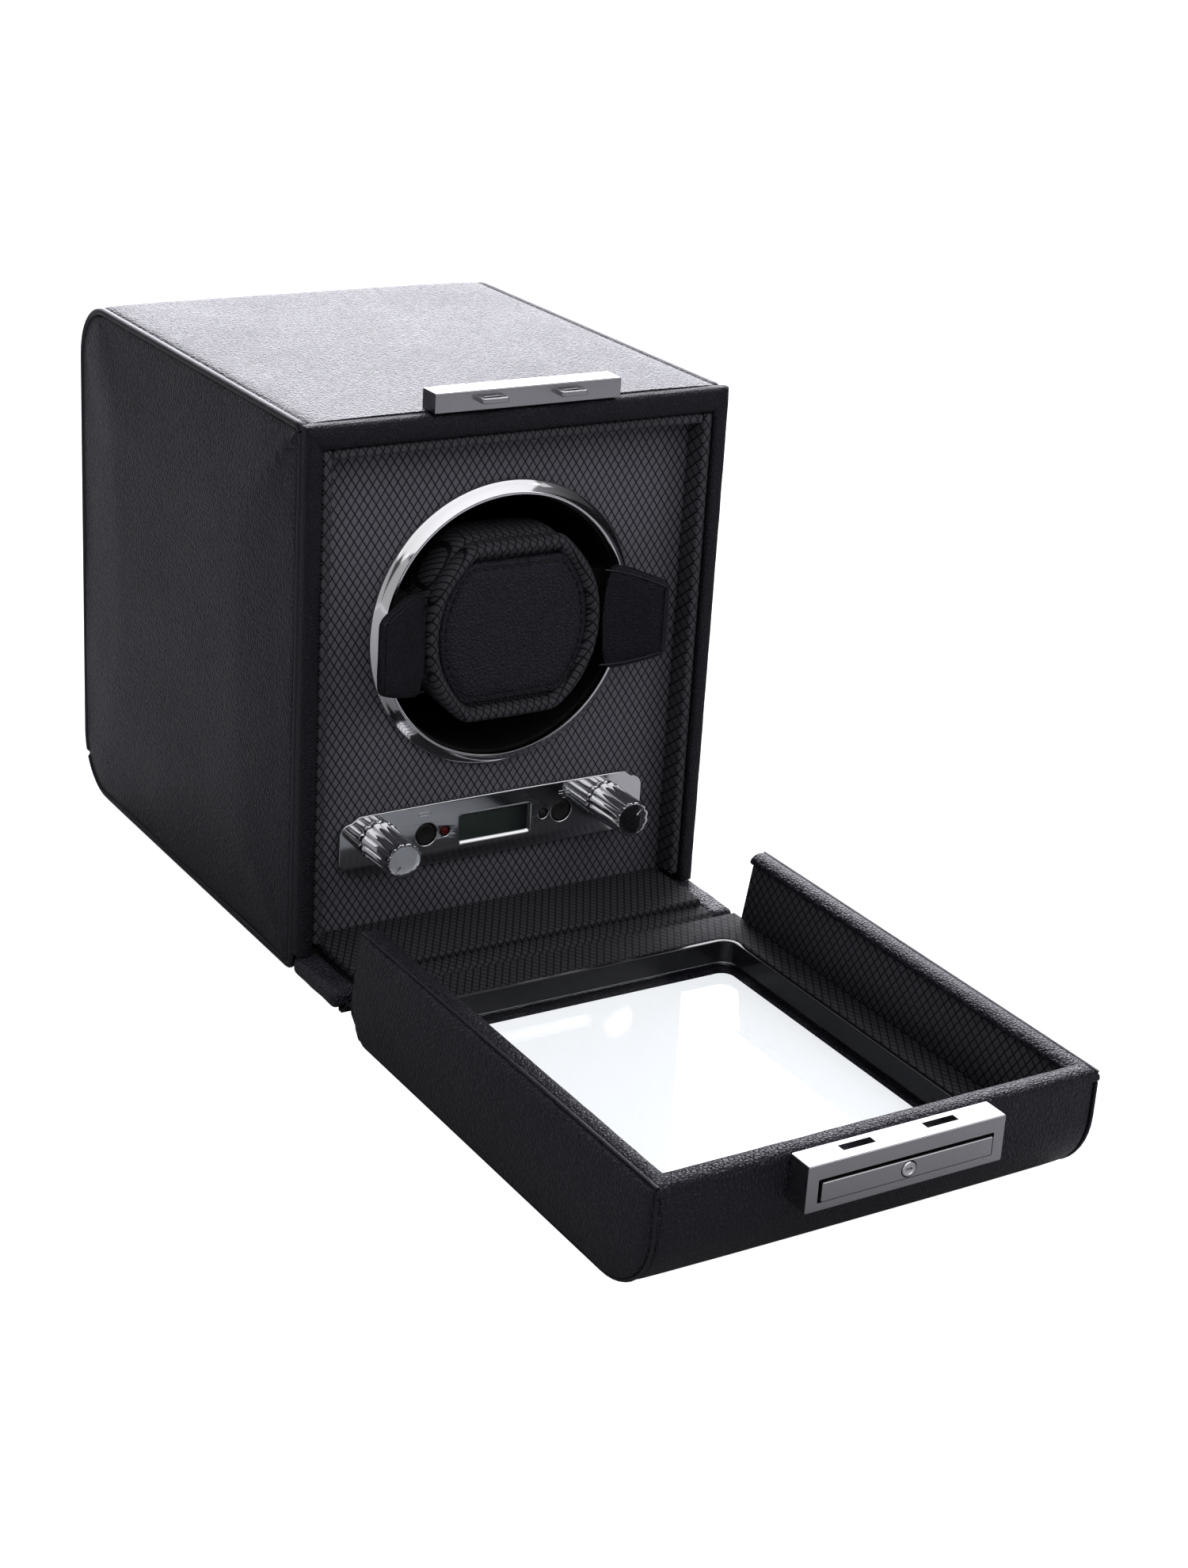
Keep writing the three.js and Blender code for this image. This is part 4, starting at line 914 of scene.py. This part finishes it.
def build_lid():
    for name, side in SIDES:
        pad = crowned_panel(f"lid_pad_{name}", lid_outline, side, 68.2, LID_STEPS, 0.7, 5, 3.0)
        inflated(pad, 1.5, 0.8, pin=lambda co: abs(co.x) < 70.2)
        rumpled(pad, 0.3, 22)
        dress(pad, "lid", "leather", LEATHER_SIDE, [f"lid_side_{name}"], 60)
        line = [(side * 68.7, y, z) for y, z in lid_outline(0.45)]
        dress(tube(f"lid_seam_{name}", line, 0.55, closed=True, sides=8), "lid", "leather", PIPING)

    # Leather round the underside and the near wall, with the window cut out of it. Along (y, z, normal).
    r, end = LID_RADIUS, -124.2
    path = [(end + (LID_NEAR + r - end) * i / 24, 0.0, (0, -1)) for i in range(24)]
    for i in range(17):
        a = 1.5 * math.pi - math.pi / 2 * i / 16
        path.append((LID_NEAR + r + r * math.cos(a), r + r * math.sin(a), (math.cos(a), math.sin(a))))
    path += [(LID_NEAR, r + (33.2 - r) * i / 5, (-1, 0)) for i in range(1, 6)]
    across = mirrored([(-67.9, -0.7), (-67.2, -0.15), (-65.5, 0.05), (-60, 0.15), (-40, 0.3), (-20, 0.35)],
                      (0, 0.35))
    rings = []
    for y, z, (ny, nz) in path:
        lift = 1.0 if z > 0.5 else 0.0
        outer = [Vector((x, y + ny * h * lift, z + nz * h * lift)) for x, h in across]
        inner = [Vector((x, y - ny * 1.5, z - nz * 1.5)) for x, _ in reversed(across)]
        rings.append(outer + inner)
    wrap = loft("lid_leather", rings)
    carved(wrap, [flat_curve("hole", [rounded(*WINDOW, (4,) * 4)], 30, 0, "xy", 5)])
    dress(wrap, "lid", "leather", LEATHER_SIDE, ["lid_wrap"], 50)

    # Rolled leather along the tops of the three walls, swept round two mitred corners.
    low, high = 32.5, LID_TOP
    outer_x, inner_x, outer_y, inner_y, end = 69.2, 62.9, LID_NEAR - 0.35, LID_NEAR + 7.2, -123.6
    stations = [((-outer_x, end), (-inner_x, end)), ((-outer_x, outer_y), (-inner_x, inner_y)),
                ((outer_x, outer_y), (inner_x, inner_y)), ((outer_x, end), (inner_x, end))]
    shape = [(0.02, low), (0.0, low + 0.6), (0.02, high - 1.5), (0.09, high - 0.7), (0.22, high - 0.2),
             (0.42, high), (0.62, high - 0.1), (0.8, high - 0.5), (0.93, high - 1.2), (1.0, high - 2),
             (0.98, low + 0.4), (0.9, low)]
    rings = []
    for outer, inner, sink in mitred(stations, 36, ((0.006, 0.0), (0.0, 0.35))):
        rings.append([(*between(outer, inner, s), z - (sink if z > high - 1 else 0)) for s, z in shape])
    rim = loft("lid_rim_leather", rings)
    rumpled(rim, 0.12, 6)
    dress(rim, "lid", "leather", LEATHER_SIDE, ["lid_rim"], 50)

    outlines = [rounded(-65.4, 65.4, -260.8, -114.4, (0.5,) * 4),
                rounded(-54.9, 54.9, -260.4, -128.1, (5.9,) * 4)]
    floor = flat_curve("lid_floor_cloth", outlines, 2.7, 0.5, "xy", 10.65)
    dress(floor, "lid", "fabric", FABRIC_FLOOR, ["lid_lining_floor"])
    for name, side in SIDES:
        outline = [(-261.2, 12.3), (-119.7, 12.3), (-123.6, 32.2), (-271.2, 32.2), (-271.2, 21.2)]
        rings = [[(side * x, y, z) for y, z in outline] for x in (64.0, 65.4)]
        wall = loft(f"lid_cloth_{name}", rings)
        modified(wall, "BEVEL", width=0.4 * MM, segments=2)
        baked(wall)
        dress(wall, "lid", "fabric", FABRIC_SIDE, [f"lid_lining_{name}"])
    bend = [(-271.5, 32.2)]
    for i in range(9):
        a = math.pi + 0.8 * i / 8
        bend.append((-261.2 + 11.0 * math.cos(a), 21.0 + 11.0 * math.sin(a)))
    rings = []
    for y, z in bend:
        rings.append([(-65.1, y, z), (65.1, y, z), (65.1, y + 1.1, z + 0.3), (-65.1, y + 1.1, z + 0.3)])
    dress(loft("lid_cloth_end", rings), "lid", "fabric", FABRIC_FRONT, ["lid_lining_end"])

    outlines = [rounded(-54.6, 54.6, -260.1, -128.4, (5.6,) * 4), rounded(*WINDOW, (4,) * 4)]
    surround = flat_curve("window_surround", outlines, 7.0, 0.3, "xy", 8.45)
    dress(surround, "lid", "gloss_plastic", GLOSS, ["window_frame"])
    pane = flat_curve("window_pane", [rounded(-54.5, 54.5, -260, -128.5, (5.5,) * 4)], 1.8, 0.2, "xy", 3.65)
    dress(pane, "lid", "glass", GLASS, ["window_glass"])


def hinge_strip(name, points, half, thick):
    """A flexible strip across the hinge, from (y, z) points along its middle."""
    dense = [between(a, b, k / 5) for a, b in zip(points, points[1:]) for k in range(5)]
    rings = []
    for y, z in [*dense, points[-1]]:
        low, high = z - thick / 2, z + thick / 2
        rings.append([(-half, y, low), (half, y, low), (half, y, high), (-half, y, high)])
    return loft(name, rings)


def build_soft_hinge():
    outer = [(-124.0, 1.1), (-121, 1.5), (-119, 4.2), (-116.5, 6.3), (-113.25, 7.0), (-110.2, 6.2),
             (-108.6, 3.6), (-107, 2.5), (-105, 2.5)]
    inner = [(-114.6, 11.0), (-113, 10.0), (-111.6, 9.0), (-110.4, 8.3), (-109, 8.8), (-107.6, 9.4),
             (-105, 9.5), (-102.3, 9.5)]
    leather = hinge_strip("hinge_leather", outer, 66.8, 1.2)
    cloth = hinge_strip("hinge_cloth", inner, 61, 0.9)
    for piece, slot, material, node in ((leather, "leather", LEATHER_FLAT, "soft_hinge_outer"),
                                        (cloth, "fabric", FABRIC_FLOOR, "soft_hinge_inner")):
        piece.data.materials.append(material)
        smooth(piece, 60)
        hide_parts(node)
    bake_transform(leather)
    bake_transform(cloth)


# ---- Latch ----

def build_latch():
    bottom = TOP + 0.3
    body = soft_box("catch_bar", (-30.7, 30.7), (FRONT, FRONT + 8), (bottom, bottom + 6), 0.45)
    loops = []
    for _, side in SIDES:
        x = side * CATCH_X
        loops.append(flat_curve("loop", [rounded(x - 4.4, x + 4.4, FRONT - 3.6, FRONT + 1, (1,) * 4),
                                         rounded(x - 2.6, x + 2.6, FRONT - 2.3, FRONT - 0.5, (0.4,) * 4)],
                                1.5, 0.3, "xy", TOP + 3.75))
    dress(joined("catch_metal", [body, *loops]), "case", "latch_metal", LATCH, ["catch_plate"], 35)

    back = LID_NEAR - 0.3
    face = back - 8.2
    block = soft_box("latch_block", (-30.7, 30.7), (face, back), (22.5, LID_TOP), 0.45)
    cutters = [soft_box("recess", (-27.4, 27.2), (face - 3, back - 4.4), (24.9, 31.5), 0.3)]
    for _, side in SIDES:
        x, y = side * CATCH_X, LID_NEAR - 5.1
        cutters.append(soft_box("slot", (x - 5, x + 5), (y, y + 2.7), (31.8, LID_TOP + 3), 0.25))
    carved(block, cutters)
    dress(block, "lid", "latch_metal", LATCH, ["latch_body"], 35)

    bar = soft_box("push_bar", (-26.5, 26.7), (face - 0.6, face + 2.2), (25.2, 30.7), 0.5)
    carved(bar, [rod("bore", 2.4, face - 3, face + 5, 0, LOCK_Z)])
    dress(bar, "latch_push", "latch_metal", LATCH, ["latch_bar"], 35)

    front = face - 0.9
    profile = [(2.1, face + 2.2), (2.1, front + 0.25), (1.9, front), (1.5, front), (1.35, front + 0.2),
               (0.02, front + 0.25)]
    barrel = turned("lock_plug", profile, 0, LOCK_Z, 40)
    carved(barrel, [soft_box("keyway", (-1.1, 1.1), (front - 1, front + 1.4), (27.75, 28.45), 0.1)])
    dress(barrel, "lock", "chrome", CHROME, ["lock_barrel"], 35)


# ---- Back ----

def build_back():
    door = soft_box("door_cover", (-31, 31), (81, 84), (25, 54), 0.7)
    ribs = [soft_box("rib", (-8, 8), (83.6, 85.5), (46 + i * 1.8, 46.8 + i * 1.8), 0.2) for i in range(4)]
    carved(door, ribs)
    dress(door, "battery_cover", "black_plastic", BLACK, ["battery_door"])


build_case()
build_opening()
build_sill()
build_front_panel()
build_controls()
build_cuff()
build_lid()
build_soft_hinge()
build_latch()
build_back()

# The CAD nodes that stay, each with its own finish.
KEPT = {
    "case_carcass": BOARD, "lid_tray": BOARD, "rotor_cup": CUP, "rotor_shaft": STEEL, "rotor_gear": WHITE,
    "motor_pinion": STEEL, "drum_housing": BLACK, "shaft_bearing": WHITE, "motor_bracket": STEEL,
    "gear_motor": STEEL, "battery_box": BLACK, "battery_lower": CELL, "battery_upper": CELL, "dc_jack": BLACK,
    "display_module": SCREEN, "led_left": LED_RED, "led_right": LED_OFF, "button_minus": CUP,
    "button_plus": CUP, "rotary_switch_left": BLACK, "rotary_switch_right": BLACK, "circuit_board": CIRCUIT,
}
for name, material in KEPT.items():
    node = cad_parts[name]
    node.data.materials.clear()
    node.data.materials.append(material)
    smooth(node, 35)

# ---- Floor, light and camera ----


def stage_floor():
    """A white table. It looks evenly white itself, and lights the object only as a pale table would."""
    far, level = 6000, -0.02  # level with the pad that the case stands on
    corners = [(-far, -far, level), (far, -far, level), (far, far, level), (-far, far, level)]
    floor = mesh_object("floor", corners, [(0, 1, 2, 3)])
    t = Tree("floor")
    path = t.nodes.new("ShaderNodeLightPath").outputs
    direct = t.math("LESS_THAN", path["Glossy Depth"], 0.5)
    through = t.math("MULTIPLY", path["Is Transmission Ray"], direct)
    seen = t.math("MAXIMUM", path["Is Camera Ray"], through)
    t.set(Base_Color=t.mix(t.noise(2.0), (0.41, 0.41, 0.42), (0.43, 0.43, 0.44)), Roughness=0.6)
    t.set(Emission_Color=(1.0, 1.0, 1.0), Emission_Strength=t.math("MULTIPLY", seen, 0.98))
    floor.data.materials.append(t.material)


def area_light(name, place, target, width, height, power):
    light = bpy.data.lights.new(name, "AREA")
    light.shape = "RECTANGLE"
    light.size, light.size_y, light.energy = width, height, power
    lamp = bpy.data.objects.new(name, light)
    scene.collection.objects.link(lamp)
    lamp.location = place
    lamp.visible_camera = False
    lamp.rotation_euler = (Vector(target) - Vector(place)).to_track_quat("-Z", "Y").to_euler()


def studio_sky():
    """Bright behind the object on the right, softer above it and dim elsewhere; plain white to look at."""
    t = Tree("studio", world=True)
    scene.world = t.material
    where = t.node("TexCoord", "Generated")
    x, y, z = (t.node("SeparateXYZ", axis, {0: where}) for axis in range(3))

    def rise(value, low, high, top):
        return t.ramp(value, low, high, 0.0, top, interpolation_type="SMOOTHSTEP")

    behind = t.math("MULTIPLY", rise(y, 0.25, 0.85, 6.0), rise(x, -0.25, 0.3, 1.0))
    light = t.math("ADD", t.math("ADD", behind, rise(z, 0.3, 1.0, 0.35)), 0.06)
    # 1 where the camera looks at it, and the light's own strength to all other rays.
    seen = t.node("LightPath", "Is Camera Ray")
    dimmed = t.math("MULTIPLY", light, t.math("SUBTRACT", seen, 1.0))
    t.set(Strength=t.math("SUBTRACT", seen, dimmed), Color=(0.95, 0.95, 1.0))


stage_floor()
studio_sky()
scene.view_settings.view_transform = "Standard"
area_light("key", (0.1, -1.3, 1.45), (0, -0.08, 0.1), 3.0, 1.5, 13)
area_light("left", (-1.35, -1.15, 0.5), (0, -0.08, 0.1), 0.9, 1.0, 1.1)
area_light("fill", (1.3, -1.3, 0.9), (0, -0.1, 0.08), 0.9, 0.9, 1.5)


def place_camera():
    """Looks down on the box from the front left."""
    yaw, pitch, roll = (math.radians(a) for a in (32.687, -22.267, 3.65))
    ahead = Vector((math.sin(yaw) * math.cos(pitch), math.cos(yaw) * math.cos(pitch), math.sin(pitch)))
    right = ahead.cross(Vector((0, 0, 1))).normalized()
    up = right.cross(ahead)
    across = right * math.cos(roll) + up * math.sin(roll)
    top = up * math.cos(roll) - right * math.sin(roll)
    data = bpy.data.cameras.new("camera")
    data.lens = 63.27
    data.sensor_width = 36
    data.clip_start, data.clip_end = 0.05, 30
    camera = bpy.data.objects.new("camera", data)
    scene.collection.objects.link(camera)
    camera.matrix_world = Matrix.Translation((-0.3945, -0.74552, 0.37118)) @ Matrix(
        [[across[i], top[i], -ahead[i]] for i in range(3)]).to_4x4()
    scene.camera = camera


place_camera()
